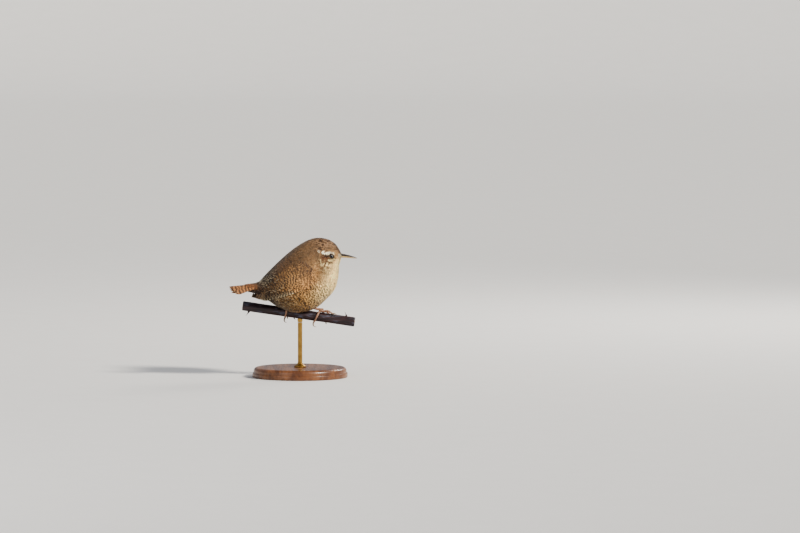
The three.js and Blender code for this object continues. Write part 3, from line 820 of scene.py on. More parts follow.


# The skin: the flesh without its coat, in the coat's colours darkened as painted shade under the coat

def make_skin():
    rows, columns = 150, 120
    u = np.linspace(0.0, 1.0, rows)
    phi = np.linspace(-np.pi, np.pi, columns, endpoint=False)
    uu, pp = np.meshgrid(u, phi, indexing="ij")
    p = body(uu, pp)
    dp, dq = slopes(body, uu, pp)
    normal = unit(np.cross(dq, dp))
    inner = p - normal * np.interp(uu, *COAT_DEPTH)[..., None]
    # The skin dips into a socket round each eye.
    gap = eye_gap(p)
    socket = SOCKET_DEPTH * np.exp(-((gap - SOCKET_RING) / SOCKET_WIDTH) ** 2)
    inner = inner - normal * socket[..., None]
    ends = np.array([inner[0].mean(axis=0), inner[-1].mean(axis=0)])
    points = np.vstack([inner.reshape(-1, 3), ends])
    faces = closed_faces(rows, columns, turned=True)
    made = mesh_object("skin", place(points, 0.05), faces, coat_look, "plumage")
    u_all = np.concatenate([uu.ravel(), [0, 1]])
    phi_all = np.concatenate([pp.ravel(), [0, 0]])
    tint, bars = plumage(body(u_all, phi_all), u_all, phi_all)
    # The skin is painted darker than the coat: painted shade under the feathers.
    set_values(made, "tint", np.clip(tint * 0.72, 0, 1))
    set_values(made, "bars", bars)
    flow = flow_at(u_all, phi_all)
    set_values(made, "flow", flow / BAR_LENGTH)
    set_values(made, "vane", np.stack([flow, phi_all * 12, u_all * 0], axis=1))
    return made


skin = make_skin()
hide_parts("head", "neck", "trunk")


# The body's feathers

def lower_rim(x):
    """The height of the folded wing's lower edge."""
    rim = spline(WING_LOWER, np.linspace(0, 1, 40))[::-1]
    return np.interp(x, rim[:, 0], rim[:, 1])


def clear_wing(points, over):
    """Takes feathers in under the folded wing, or out over its front and upper edge."""
    side = np.sign(points[..., 1])
    inside = in_wing(points[..., 0], points[..., 2])
    high = smooth(np.abs(points[..., 1]), 4.0, 7.0)
    above = OVER_WING * smooth(inside, -1.5, 1.8)
    below = -UNDER_WING * smooth(inside, -1.0, 0.6)
    out = np.where(over[:, None], above, below)
    points[..., 1] += side * high * out
    return points


def body_coat():
    roots = rows_on_body(-0.02, 1.0)
    u, phi = roots.T
    p = body(u, phi)
    gap = eye_gap(p)
    inside = in_wing(p[:, 0], p[:, 2])
    above = p[:, 2] - lower_rim(p[:, 0])
    lateral = np.abs(p[:, 1]) > 5
    over = lateral & ((above > 3.0) | (p[:, 0] > 5.5))
    hidden = lateral & (inside > np.where(over, 5.0, 1.5))
    keep = (gap > EYE_PARTING) & ~hidden
    u, phi, p, gap, over = u[keep], phi[keep], p[keep], gap[keep], over[keep]
    count = len(u)
    size = np.interp(u, *COAT_LENGTH)
    by_eye = smooth(gap, 2.4, 4.8)
    size = mix(np.minimum(size, 0.95), size, by_eye) * rng.uniform(0.82, 1.14, count)
    wide = 1.45 * np.interp(u, *COAT_SPACING)
    wide = mix(np.minimum(wide, 0.62), wide, by_eye) * rng.uniform(0.85, 1.15, count)
    deep = -np.interp(u, *COAT_DEPTH) - 0.1
    belly = smooth(-np.cos(phi), 0.2, 0.8) * smooth(u, NAPE, BACK)
    stand = 0.05 + 0.13 * rng.random(count) + 0.18 * belly * rng.random(count)
    stand = stand * np.interp(u, [0, BROW, CROWN, MANTLE], [0.35, 0.5, 0.8, 1.0])
    stray = rng.normal(0, 0.11, count) * np.interp(u, [0, CROWN, MANTLE], [0.7, 1.0, 1.2])
    names = ["face", "head", "neck", "trunk", "rear"]
    ends = [-1.0, EYE + 0.045, CROWN + 0.045, MANTLE - 0.03, LOWER_BACK - 0.03, 1.1]
    for name, low, high in zip(names, ends, ends[1:]):
        for where, part_of in (("upper", np.abs(phi) < np.pi / 2), ("lower", np.abs(phi) >= np.pi / 2)):
            pick = part_of & (u >= low) & (u < high)
            nt = 6 if name == "face" else 7
            centre = path_on_body(u[pick], phi[pick], size[pick], nt, stray[pick])
            part = grow(body, 1.0, centre, size[pick], wide[pick], deep[pick], stand[pick], ragged=0.16,
                        split=0.2, ns=7, thick=0.05, camber=0.12, blunt=0.46, tip=0.22)
            part = colour_body(part)
            part["points"] = clear_wing(part["points"], over[pick])
            spots = np.stack([phi[pick] / (2 * np.pi), u[pick]], axis=1)
            if where == "lower":
                spots[:, 0] = np.mod(spots[:, 0], 1.0)
            first, last = spots.min(axis=0), spots.max(axis=0)
            part["map"] = 0.02 + 0.96 * (spots - first) / np.maximum(last - first, 1e-6)
            patch = LARGE_PATCH if name in ("trunk", "rear") else SMALL_PATCH
            part["cell"] = (patch, patch)
            coat_piece(f"coat_{name}_{where}", [part], coat_look, "plumage", soft=0.75)


body_coat()


# The wings and the tail

def straight_paths(roots, tips, nt):
    t = np.linspace(0, 1, nt)[None, :, None]
    return mix(roots[:, None], tips[:, None], t)


def colour_flight(part, base, wave, bars, pale=None):
    n, m = part["along"].shape
    shade = 1 + rng.normal(0, 0.05, n)
    tint = np.broadcast_to(base, (n, 3)) * shade[:, None]
    tint = np.broadcast_to(tint[:, None], (n, m, 3)).copy()
    if pale is not None:
        # The outer web of the flight feathers is paler between its bars.
        outer = smooth(part["edge"] * part["s"], 0.0, 0.4)
        tint = mix(tint, np.broadcast_to(SPOT_PALE, tint.shape), outer[..., None] * pale[:, None, None])
    # Painted shade: each feather is darker towards its root, where the feathers over it would shade it.
    part["tint"] = np.clip(tint * mix(0.7, 1.0, smooth(part["t"], 0.05, 0.4))[..., None], 0, 1)
    jitter = rng.normal(0, 0.15, n)[:, None]
    part["flow"] = (part["line"][:, None] + part["along"]) / wave + jitter - 0.12 * part["s"] ** 2
    part["bars"] = np.full((n, m), bars)
    return part


def wing_feathers(surface, side, roots, tips, width, low, high, base, bars, band, nt, wave=2.0, pale=None,
                  ragged=0.05, blunt=0.8, split=0.0):
    n = len(roots)
    centre = straight_paths(roots, tips, nt)
    spots = surface(centre[..., 0], centre[..., 1])
    length = np.linalg.norm(np.diff(spots, axis=1), axis=-1).sum(axis=1)
    width, low, high = (np.broadcast_to(v, (n,)).astype(float) for v in (width, low, high))
    part = grow(surface, -side, centre, length, width, low, high, rise=1.0, camber=0.10, ragged=ragged, ns=7,
                thick=0.13, blunt=blunt, base=0.55, split=split)
    part["edge"] = -side
    part["line"] = -spots[:, 0, 0]
    part = colour_flight(part, base, wave, bars, pale)
    # The map is the wing laid out flat: rows of coverts first, then the flight feathers, side by side.
    first, total, middle, tall = band
    order = np.arange(n)
    along = 0.02 + 0.96 * (first + order % total + 0.5) / total
    part["map"] = np.stack([along, middle - tall * (order // total)], axis=1)
    part["cell"] = (0.88 / total, tall * 0.94)
    return part


def make_wing(name, side):
    surface = wing(side)

    def fan(start, end, **look):
        roots, tips = (np.stack(np.broadcast_arrays(*ends), 1) for ends in (start, end))
        return wing_feathers(surface, side, roots, tips, **look)

    # Flight feathers, from the lowest in the stack to the topmost.
    k = np.linspace(0, 1, 9)
    j = np.linspace(0, 1, 7)
    i = np.linspace(0, 1, 3)
    c = np.linspace(0, 1, 7)
    row = np.linspace(0, 1, 11)
    sway = 0.02 * np.sin(3 * row)
    primaries = fan(
        (0.30, 0.03 + 0.22 * k), (0.93 + 0.09 * np.sin(np.pi * (0.2 + 0.7 * k)), 0.72 * k), width=2.9,
        low=-0.45 + 0.35 * k, high=-0.2 + 0.35 * k, base=WING_BROWN * 0.72, wave=2.1, bars=0.97, nt=20,
        pale=np.interp(k, [0, 0.13, 0.26, 0.5, 1], [1.0, 0.9, 0.5, 0.2, 0.1]), band=(0, 19, 0.72, 0.5))
    secondaries = fan(
        (0.34 + 0.02 * j, 0.27 + 0.36 * j), (0.90 - 0.03 * j, 0.55 + 0.30 * j), width=3.0,
        low=-0.1 + 0.25 * j, high=0.14 + 0.25 * j, base=WING_BROWN * 0.95, wave=2.1, bars=0.95, nt=18,
        pale=np.full(7, 0.1), band=(9, 19, 0.72, 0.5))
    tertials = fan(
        (0.38 + 0.03 * i, 0.60 + 0.18 * i), (0.83 - 0.10 * i, 0.72 + 0.12 * i), width=3.8,
        low=0.15 + 0.15 * i, high=0.42 + 0.15 * i, base=WING_BROWN, wave=2.1, bars=0.9, nt=16, blunt=0.7,
        band=(16, 19, 0.72, 0.5))
    primary_coverts = fan(
        (0.10, 0.03 + 0.20 * c), (0.46 + 0.04 * c, 0.03 + 0.24 * c), width=2.0, low=-0.1, high=0.36,
        base=WING_BROWN * 0.8, bars=0.95, nt=10, pale=np.interp(c, [0, 0.4, 1], [0.8, 0.3, 0.1]),
        band=(0, 18, 0.385, 0.14))
    greater_coverts = fan(
        (0.16, 0.12 + 0.76 * row), (0.50 + sway, 0.18 + 0.68 * row), width=2.7, low=0.0, high=0.62,
        base=WING_BROWN * 0.98, bars=0.9, nt=10, ragged=0.10, blunt=0.7, band=(7, 18, 0.385, 0.14))
    median_coverts = fan(
        (0.08, 0.10 + 0.82 * row), (0.34 + sway, 0.14 + 0.78 * row), width=2.6, low=0.0, high=0.72,
        base=WING_BROWN, bars=0.85, nt=8, ragged=0.14, blunt=0.62, band=(0, 11, 0.26, 0.1))
    # Small soft coverts over the bend and towards the shoulder.
    a, b = np.meshgrid(np.linspace(0.24, 0.06, 6), np.linspace(0.04, 1.0, 24), indexing="ij")
    b = b + 0.02 * (np.arange(6) % 2)[:, None]
    a, b = (v.ravel() + rng.uniform(-0.012, 0.012, a.size) for v in (a, b))
    small_coverts = fan(
        (a, b), (a + 0.115, b - 0.01), width=1.8, low=0.0, high=0.8 - 0.5 * a, nt=7,
        base=mix(FLANK_GOLD, BACK_BROWN, smooth(b, 0.2, 0.8)[:, None]), bars=0.8, ragged=0.14,
        blunt=0.5, split=0.2, band=(0, 24, 0.18, 0.032))
    parts = [primaries, secondaries, tertials, primary_coverts, greater_coverts, median_coverts,
             small_coverts]
    # The wing is painted darker towards its tip: painted shade over the rear of the bird.
    for part in parts:
        rear_shade = smooth(-part["points"][..., 0], 6, 27)
        part["tint"] = part["tint"] * mix(1, 0.36, rear_shade)[..., None]
    made = coat_piece(f"plumage_wing_{name}", parts, flight_look, "flight_feathers")
    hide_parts(f"wing_{name}")


make_wing("left", 1.0)
make_wing("right", -1.0)


def make_tail():
    # Alternate sides from the outermost, so that the middle pair lies on top.
    count = 12
    order = np.arange(count)
    rank = order // 2
    sign = np.where(order % 2 == 0, 1.0, -1.0)
    inner = 1 - rank / 5
    roots = np.stack([np.zeros(count), sign * (0.06 + 0.42 * inner)], 1)
    uneven = rng.uniform(-0.008, 0.008, count)
    tips = np.stack([1.0 - 0.13 * inner**1.6 + uneven, sign * (0.12 + 0.74 * inner)], 1)
    level = -0.75 + 0.7 * (rank / 5) + 0.05 * (sign > 0)
    centre = straight_paths(roots, tips, 22)
    spots = tail(centre[..., 0], centre[..., 1])
    length = np.linalg.norm(np.diff(spots, axis=1), axis=-1).sum(axis=1)
    part = grow(tail, 1.0, centre, length, np.full(count, 3.4), level, level, rise=1.0, camber=0.08,
                ragged=0.03, ns=9, thick=0.22, blunt=0.86, base=0.7)
    part["edge"] = sign[:, None]
    part["line"] = -spots[:, 0, 0]
    pale = np.interp(inner, [0, 0.5, 1], [0.1, 0.3, 0.85])
    part = colour_flight(part, TAIL_BROWN, 2.3, 0.85, pale=pale)
    beside = np.argsort(np.argsort(roots[:, 1]))
    part["map"] = np.stack([(beside + 0.5) / count, np.full(count, 0.5)], axis=1)
    part["cell"] = (0.075, 0.94)
    made = coat_piece("plumage_tail", [part], flight_look, "flight_feathers", clear=0)
    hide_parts("tail")


make_tail()


# Horn, eyes and feet

def bill_half(upper):
    steps, sides = 40, 24
    t = np.linspace(0, 1, steps)
    length = BILL_LENGTH * (1 if upper else 0.96)
    taper = (1 - t) ** 0.75
    half = 1.35 * taper + 0.2
    deep = (1.3 if upper else 0.95) * taper + 0.2
    seam = 39.9 - 1.0 * t - 0.75 * t * t + (0.05 if upper else -0.05)
    turn = np.linspace(0, np.pi, sides)
    up = 1.0 if upper else -1.0
    # A ridge along the top of the bill and a groove on each side for the nostril.
    ridge = 1 + 0.10 * np.exp(-((turn - np.pi / 2) / 0.35) ** 2)
    sides_of_it = np.exp(-((turn - 0.75) / 0.28) ** 2) + np.exp(-((turn - np.pi + 0.75) / 0.28) ** 2)
    sink = 0.24 * np.exp(-((t[:, None] - 0.17) / 0.085) ** 2) * sides_of_it * (1.0 if upper else 0.0)
    x = BILL_START + 0.15 + length * t[:, None] + 0 * turn
    y = half[:, None] * np.cos(turn) * (1 - sink)
    z = seam[:, None] + up * deep[:, None] * np.sin(turn) * ridge * (1 - sink)
    top = np.stack([x, y, z], axis=-1)
    flat = np.linspace(0, 1, 7)[1:-1]
    under = mix(top[:, -1][:, None], top[:, 0][:, None], flat[None, :, None])
    ring = np.concatenate([top, under], axis=1)
    ends = np.stack([ring[0].mean(axis=0), ring[-1].mean(axis=0) + [0.05, 0, -0.02]])
    points = np.vstack([ring.reshape(-1, 3), ends])
    faces = closed_faces(steps, ring.shape[1])
    return points, faces[:, ::-1] if upper else faces


def horn_material(name, dark, light, fade_from, fade_to):
    m = Nodes(name)
    x = m.tree.nodes.new("ShaderNodeSeparateXYZ")
    m.link(m.place, x.inputs[0])
    along = m.steps(x.outputs[0], fade_from, fade_to)
    grain = m.noise(m.scaled(m.place, 500, 3000, 3000), 1.0, 3.0)
    blotch = m.noise(m.place, 900, 3.0)
    colour = m.mix(along, dark, light)
    colour = m.mix(1.0, colour, m.steps(grain, 0.25, 0.75, 0.78, 1.2, smooth_step=False), "MULTIPLY")
    colour = m.mix(m.steps(blotch, 0.5, 0.75, 0.0, 0.35), colour, tuple(0.5 * np.asarray(dark)))
    normal = m.bump(grain, 0.3, 0.00005)
    return m.set(color=colour, roughness=m.steps(blotch, 0.3, 0.7, 0.34, 0.5, smooth_step=False),
                 normal=normal, coat=0.15, coat_roughness=0.25)


bill_top_look = horn_material("bill_dark", paint(74, 58, 46), paint(44, 34, 28), 0.048, 0.036)
bill_low_look = horn_material("bill_pale", paint(168, 134, 96), paint(196, 166, 110), 0.046, 0.032)
claw_look = horn_material("claw_horn", paint(96, 76, 60), paint(150, 124, 100), -0.02, 0.03)

for part_name, upper, look in (("bill_upper", True, bill_top_look), ("bill_lower", False, bill_low_look)):
    points, faces = bill_half(upper)
    piece = mesh_object(f"{part_name}_horn", place(points), faces, look, "bill")
    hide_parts(part_name)


def eye_ways(side):
    """The ways an eye looks, up and across."""
    axis = unit(np.array([0.40, side * 1.0, 0.03]))
    up = unit(np.array([0, 0, 1.0]) - axis * axis[2])
    return axis, up, np.cross(axis, up)


def eye_ball(side):
    """A ball with a slightly fuller front, its pole along the way the eye looks."""
    rings, sides = 40, 40
    a = np.linspace(0.02, np.pi - 0.02, rings)
    turn = np.linspace(0, 2 * np.pi, sides, endpoint=False)
    axis, up, over = eye_ways(side)
    fuller = 1 + 0.035 * np.exp(-((a / 0.62) ** 2))
    r = (EYE_RADIUS - 0.03) * fuller
    direction = (
        np.cos(a)[:, None, None] * axis
        + (np.sin(a)[:, None] * np.cos(turn))[..., None] * up
        + (np.sin(a)[:, None] * np.sin(turn))[..., None] * over
    )
    centre = EYE_PLACE * [1, side, 1]
    ring = centre + direction * r[:, None, None]
    points = np.vstack([ring.reshape(-1, 3), [centre + axis * r[0], centre - axis * r[-1]]])
    polar = np.concatenate([np.repeat(a, sides), [0, np.pi]])
    return points, closed_faces(rings, sides), polar


def eye_material():
    m = Nodes("eye")
    polar = m.attribute("polar")
    iris = m.mix(m.noise(m.place, 6000, 2.0), paint(22, 12, 8), paint(38, 21, 12))
    colour = m.mix(m.steps(polar, 0.42, 0.50), paint(6, 4, 4), iris)
    colour = m.mix(m.steps(polar, 0.72, 0.86), colour, paint(14, 9, 7))
    return m.set(color=colour, roughness=0.10, coat=0.7, coat_roughness=0.03, specular=0.3, ior=1.38)


eye_look = eye_material()


def lid_material():
    m = Nodes("lid")
    scales = m.voronoi(m.place, 4200)
    colour = m.mix(m.steps(scales, 0.1, 0.6), paint(92, 74, 60), paint(58, 44, 36))
    return m.set(color=colour, roughness=0.55, normal=m.bump(scales, 0.5, 0.00008))


lid_look = lid_material()

for eye_name, side in (("left", 1.0), ("right", -1.0)):
    points, faces, polar = eye_ball(side)
    piece = mesh_object(f"eyeball_{eye_name}", place(points), faces, eye_look, "eye")
    set_values(piece, "polar", polar)
    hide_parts(f"eye_{eye_name}")
    # The bare ring of skin round the eye, drawn out to corners in front and behind.
    axis, up, over = eye_ways(side)
    turn = np.linspace(0, 2 * np.pi, 73)
    lean = 1.62 + 0.10 * np.cos(turn) ** 2
    line = (
        EYE_PLACE * [1, side, 1]
        + axis * (1.34 - 0.22 * np.sin(turn) ** 2)[:, None]
        + up * (lean * 0.96 * np.cos(turn))[:, None]
        + over * (1.78 * np.sin(turn))[:, None]
    )
    points, faces = sweep(place(line), 0.00024, sides=12)
    mesh_object(f"eye_ring_{eye_name}", points, faces, lid_look, "plumage")


# Feet. A place by the perch: x along it, angle from its top towards the viewer, distance from its middle.

def by_perch(x, angle, out):
    x, angle, out = np.broadcast_arrays(*(np.asarray(v, float) for v in (x, angle, out)))
    along = np.array([math.cos(PERCH_FALL), 0, -math.sin(PERCH_FALL)])
    up = np.array([math.sin(PERCH_FALL), 0, math.cos(PERCH_FALL)])
    turn = np.radians(angle)
    across = np.array([0, -1.0, 0])
    return (
        np.array([0, 0, PERCH_HEIGHT]) + x[..., None] * along
        + (out * np.cos(turn))[..., None] * up + (out * np.sin(turn))[..., None] * across
    )


FEET = {
    "right": {
        "palm": 14.8,
        "tarsus": [[0.4, 6, 5.6], [-4.2, 12, 5.7], [-9.4, 14, 7.4]],
        "toes": {"hind": [-1.2, 22, -4.0, 142, 0.2], "inner": [1.0, -22, 3.6, -114, 0.3],
                 "middle": [1.6, -8, 8.2, -86, 0.8], "outer": [1.7, 8, 7.6, 24, 1.1]},
        "hind_claw": [[-4.2, 150, 4.5], [-4.5, 158, 6.0], [-3.7, 168, 7.2], [-2.0, 175, 7.4]],
    },
    "left": {
        "palm": -9.2,
        "tarsus": [[-0.4, -6, 5.8], [-3.6, -10, 8.0], [-6.3, -18, 13.0]],
        "toes": {"hind": [-0.4, 22, -1.0, 144, 0.2], "inner": [1.4, -6, 7.4, -52, 0.6],
                 "middle": [0.8, -16, 4.4, -112, 0.4], "outer": [-0.4, -22, 0.4, -118, 0.3]},
        "hind_claw": [[-1.1, 152, 4.5], [-1.4, 160, 5.9], [-0.8, 168, 7.0], [0.6, 175, 7.3]],
    },
}
CLAW_LENGTH = {"inner": 3.4, "middle": 3.8, "outer": 3.4}
JOINTS = {"hind": 2, "inner": 3, "middle": 4, "outer": 4}
TOE_OUT = PERCH_RADIUS + TOE_RADIUS + 0.2


def toe(palm, name, run):
    x1, a1, x2, a2, arch = run
    t = np.linspace(-0.02, 1.03, 64)
    out = TOE_OUT + arch * np.sin(np.pi * np.clip(t, 0, 1))
    line = by_perch(palm + mix(x1, x2, t), mix(a1, a2, t), out)
    # Pads under each joint and overlapping plates along the top.
    pads = 0.09 * np.cos(2 * np.pi * JOINTS[name] * t) * smooth(t, 0, 0.1)
    radii = TOE_RADIUS * (1.08 - 0.22 * t + pads)
    saw = (t * 13) % 1.0
    radii = radii * (1 + 0.045 * saw)
    return sweep(line * 0.001, radii * 0.001, sides=16)


def claw(foot, name):
    t = np.linspace(-0.12, 1, 30)
    if name == "hind":
        nodes = np.array(foot["hind_claw"])
        line = spline(by_perch(foot["palm"] + nodes[:, 0], nodes[:, 1], nodes[:, 2]), t)
    else:
        x1, a1, x2, a2, _ = foot["toes"][name]
        reach = math.hypot(x2 - x1, math.radians(a2 - a1) * PERCH_RADIUS)
        on = 1 + (0.85 + CLAW_LENGTH[name] * 0.8 * t) / reach
        out = TOE_OUT + 0.75 * np.sin(np.pi * np.clip(t, -0.2, 1) * 0.8) - 0.5 * t
        line = by_perch(foot["palm"] + mix(x1, x2, on), mix(a1, a2, on), out)
    radii = 0.50 * np.clip(1 - t, 0, 1) ** 0.75 + 0.07
    return sweep(line * 0.001, radii * 0.001, sides=12, squash=0.8)


def leg(foot):
    nodes = np.array(foot["tarsus"])
    t = np.linspace(-0.08, 1.05, 60)
    line = spline(by_perch(foot["palm"] + nodes[:, 0], nodes[:, 1], nodes[:, 2]), t)
    saw = (t * 8) % 1.0
    radii = TARSUS_RADIUS * (1 + 0.05 * saw + 0.12 * smooth(-t, -0.12, 0.05))
    return sweep(line * 0.001, radii * 0.001, sides=16)


def ball(centre, radii, turn_y):
    rings, sides = 20, 24
    a = np.linspace(0.05, np.pi - 0.05, rings)
    b = np.linspace(0, 2 * np.pi, sides, endpoint=False)
    p = np.stack([
        np.sin(a)[:, None] * np.cos(b), np.sin(a)[:, None] * np.sin(b), np.cos(a)[:, None] + 0 * b,
    ], axis=-1) * radii
    c, s = math.cos(turn_y), math.sin(turn_y)
    p = p @ np.array([[c, 0, -s], [0, 1, 0], [s, 0, c]]) + centre
    points = np.vstack([p.reshape(-1, 3), [p[0].mean(axis=0), p[-1].mean(axis=0)]])
    return points, closed_faces(rings, sides)


def foot_material():
    m = Nodes("foot_skin")
    scales = m.voronoi(m.place, 2300)
    fine = m.noise(m.place, 5200, 3.0)
    colour = m.mix(m.noise(m.place, 320, 3.0), paint(176, 136, 112), paint(140, 102, 82))
    colour = m.mix(m.steps(scales, 0.32, 0.62, 0.0, 0.55), colour, paint(104, 72, 58))
    height = m.math("ADD", m.math("MULTIPLY", scales, -1.0), m.math("MULTIPLY", fine, 0.25))
    return m.set(color=colour, roughness=m.steps(fine, 0.3, 0.7, 0.42, 0.62, smooth_step=False),
                 normal=m.bump(height, 0.5, 0.0001), subsurface=0.08)


foot_look = foot_material()

for side_name, foot in FEET.items():
    parts = [toe(foot["palm"], name, run) for name, run in foot["toes"].items()]
    seat = by_perch(foot["palm"], 4, PERCH_RADIUS + 1.2)
    parts.append(ball(seat * 0.001, np.array([2.0, 1.75, 0.98]) * 0.001, PERCH_FALL))
    piece = mesh_object(f"toes_{side_name}", *join(parts), foot_look, "leg_skin")
    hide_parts(f"foot_{side_name}")
    piece = mesh_object(f"tarsus_{side_name}", *leg(foot), foot_look, "leg_skin")
    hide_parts(f"leg_{side_name}")
    for name in foot["toes"]:
        piece = mesh_object(f"horn_{side_name}_{name}", *claw(foot, name), claw_look, "claw")
        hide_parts(f"claw_{side_name}_{name}")


# The perch and its stand

THORNS = [[-36.5, 158, 3.4], [-30.5, -70, 3.0], [33, 18, 3.2]]


def make_perch():
    rows, sides = 260, 64
    x = np.linspace(PERCH_ENDS[0], PERCH_ENDS[1], rows)
    angle = np.linspace(0, 360, sides, endpoint=False)
    xx, aa = np.meshgrid(x, angle, indexing="ij")
    rad = np.radians(aa)
    ribs = 0.07 * np.cos(5 * rad + 0.02 * xx) + 0.03 * np.cos(11 * rad - 0.05 * xx)
    lumps = noise(np.stack([xx * 0.5, 3 * np.cos(rad), 3 * np.sin(rad)], -1), 0.12, 21)
    out = PERCH_RADIUS - 0.10 + ribs + 0.05 * lumps
    # Bark curls in a little over the cut ends.
    cut = np.minimum(xx - PERCH_ENDS[0], PERCH_ENDS[1] - xx)
    out = out - 0.35 * np.exp(-cut / 0.25)
    points = by_perch(xx, aa, out).reshape(-1, 3)
    quads = grid_faces(rows, sides, wrap=True)[:, ::-1]
    parts = [(points * 0.001, cut_quads(quads))]
    for place_x, turn, length in THORNS:
        t = np.linspace(0, 1, 24)
        line = by_perch(place_x - 1.7 * t**2, turn, PERCH_RADIUS - 0.6 + (length + 0.6) * t)
        radii = 0.10 + 1.25 * (1 - t) ** 2.2
        parts.append(sweep(line * 0.001, radii * 0.001, sides=16, squash=0.8))
    return join(parts)


def bark_material():
    m = Nodes("bark")
    streak = m.noise(m.scaled(m.place, 60, 900, 900), 1.0, 4.0, 0.6)
    bloom = m.noise(m.scaled(m.place, 140, 420, 420), 1.0, 4.0, 0.6, 0.6)
    fleck = m.noise(m.place, 1900, 3.0)
    colour = m.mix(m.steps(streak, 0.35, 0.7), paint(24, 16, 20), paint(62, 40, 42))
    colour = m.mix(m.steps(bloom, 0.50, 0.66, 0.0, 0.5), colour, paint(96, 98, 116))
    colour = m.mix(m.steps(fleck, 0.62, 0.72, 0.0, 0.5), colour, paint(26, 15, 18))
    height = m.math("ADD", streak, m.math("MULTIPLY", fleck, 0.25))
    rough = m.steps(bloom, 0.4, 0.65, 0.38, 0.7)
    return m.set(color=colour, roughness=rough, normal=m.bump(height, 0.5, 0.00025))


def cut_material():
    m = Nodes("cut_wood")
    distance = m.attribute("ring")
    grain = m.noise(m.place, 2600, 3.0)
    colour = m.mix(m.steps(distance, 0.30, 0.38), paint(226, 208, 170), paint(196, 164, 116))
    colour = m.mix(m.steps(distance, 0.80, 0.86), colour, paint(96, 104, 60))
    colour = m.mix(m.steps(distance, 0.90, 0.95), colour, paint(48, 28, 34))
    colour = m.mix(m.steps(grain, 0.45, 0.7, 0.0, 0.4), colour, paint(140, 106, 70))
    return m.set(color=colour, roughness=0.75, normal=m.bump(grain, 0.4, 0.0001))


bark_look, cut_look = bark_material(), cut_material()
points, faces = make_perch()
perch = mesh_object("stem_bark", points, faces, bark_look, "stem")
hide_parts("perch")


def cut_end(x, way):
    rings, sides = 10, 64
    r = np.linspace(0, 1, rings)[1:]
    angle = np.linspace(0, 360, sides, endpoint=False)
    rr, aa = np.meshgrid(r, angle, indexing="ij")
    rad = np.radians(aa)
    dome = 0.10 * (1 - rr**2) + 0.03 * noise(np.stack([rr, np.cos(rad), np.sin(rad)], -1), 1.2, 4)
    ring = by_perch(x + way * dome, aa, rr * (PERCH_RADIUS - 0.42))
    centre = by_perch(x + way * 0.10, 0, 0)
    points = np.vstack([ring.reshape(-1, 3), centre[None]])
    j = np.arange(sides)
    hub = np.stack([np.full(sides, len(points) - 1), j, (j + 1) % sides], axis=1)
    faces = np.vstack([cut_quads(grid_faces(rings - 1, sides, wrap=True)), hub])
    if way < 0:
        faces = faces[:, ::-1]
    made = mesh_object(f"stem_end_{'high' if way < 0 else 'low'}", points * 0.001, faces, cut_look, "stem")
    set_values(made, "ring", np.concatenate([rr.ravel(), [0]]))


cut_end(PERCH_ENDS[0] + 0.02, -1)
cut_end(PERCH_ENDS[1] - 0.02, 1)


def lathe(profile, sides):
    profile = np.array(profile, float)
    turn = np.linspace(0, 2 * np.pi, sides, endpoint=False)
    ring = np.stack([
        profile[:, :1] * np.cos(turn), profile[:, :1] * np.sin(turn), profile[:, 1:] + 0 * turn,
    ], axis=-1)
    faces = cut_quads(grid_faces(len(profile), sides, wrap=True))
    return ring.reshape(-1, 3) * 0.001, faces[:, ::-1]


def wood_material():
    m = Nodes("turned_wood")
    rings = m.noise(m.scaled(m.place, 260, 14, 120), 1.0, 5.0, 0.62, 0.35)
    pores = m.noise(m.scaled(m.place, 2600, 160, 2600), 1.0, 3.0)
    broad = m.noise(m.scaled(m.place, 40, 9, 30), 1.0, 3.0)
    colour = m.mix(m.steps(rings, 0.32, 0.68), paint(92, 56, 34), paint(142, 94, 58))
    colour = m.mix(m.steps(broad, 0.35, 0.7, 0.0, 0.5), colour, paint(78, 44, 26))
    colour = m.mix(m.steps(pores, 0.58, 0.7, 0.0, 0.55), colour, paint(48, 27, 16))
    rough = m.steps(pores, 0.4, 0.7, 0.32, 0.5)
    return m.set(color=colour, roughness=rough, normal=m.bump(pores, 0.25, 0.0001), coat=0.25,
                 coat_roughness=0.2)


def rod_material():
    m = Nodes("rod_metal")
    brushed = m.noise(m.scaled(m.place, 900, 900, 60), 1.0, 3.0)
    stain = m.noise(m.place, 160, 4.0)
    colour = m.mix(m.steps(stain, 0.4, 0.7, 0.0, 0.6), paint(176, 142, 84), paint(120, 92, 54))
    rough = m.steps(brushed, 0.3, 0.7, 0.26, 0.42, smooth_step=False)
    return m.set(color=colour, metallic=1.0, roughness=rough, normal=m.bump(brushed, 0.15, 0.00005))


wood_look, rod_look = wood_material(), rod_material()

AXIS = 0.001
ROUNDING = 2.4
HOLE_DEPTH = 4
hole = ROD_RADIUS + 0.3
profile = [[AXIS, 0], [BASE_RADIUS - 0.5, 0], [BASE_RADIUS - 0.1, 0.15], [BASE_RADIUS, 0.5],
           [BASE_RADIUS, 2.7], [BASE_RADIUS - 0.1, 3.0], [BASE_RADIUS - 0.35, 3.15],
           [BASE_RADIUS - 0.75, 3.2]]
profile += [
    [BASE_RADIUS - 3.2 + ROUNDING * math.cos(a), BASE_THICKNESS - ROUNDING + ROUNDING * math.sin(a)]
    for a in np.linspace(0, math.pi / 2, 14)[1:]
]
profile += [[BASE_RADIUS - 7, BASE_THICKNESS], [14, BASE_THICKNESS], [hole, BASE_THICKNESS],
            [hole, BASE_THICKNESS - HOLE_DEPTH], [AXIS, BASE_THICKNESS - HOLE_DEPTH]]
base = mesh_object("base_turned", *lathe(profile, 160), wood_look, "base_wood")
base.data.set_sharp_from_angle(angle=math.radians(40))
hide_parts("stand_base")

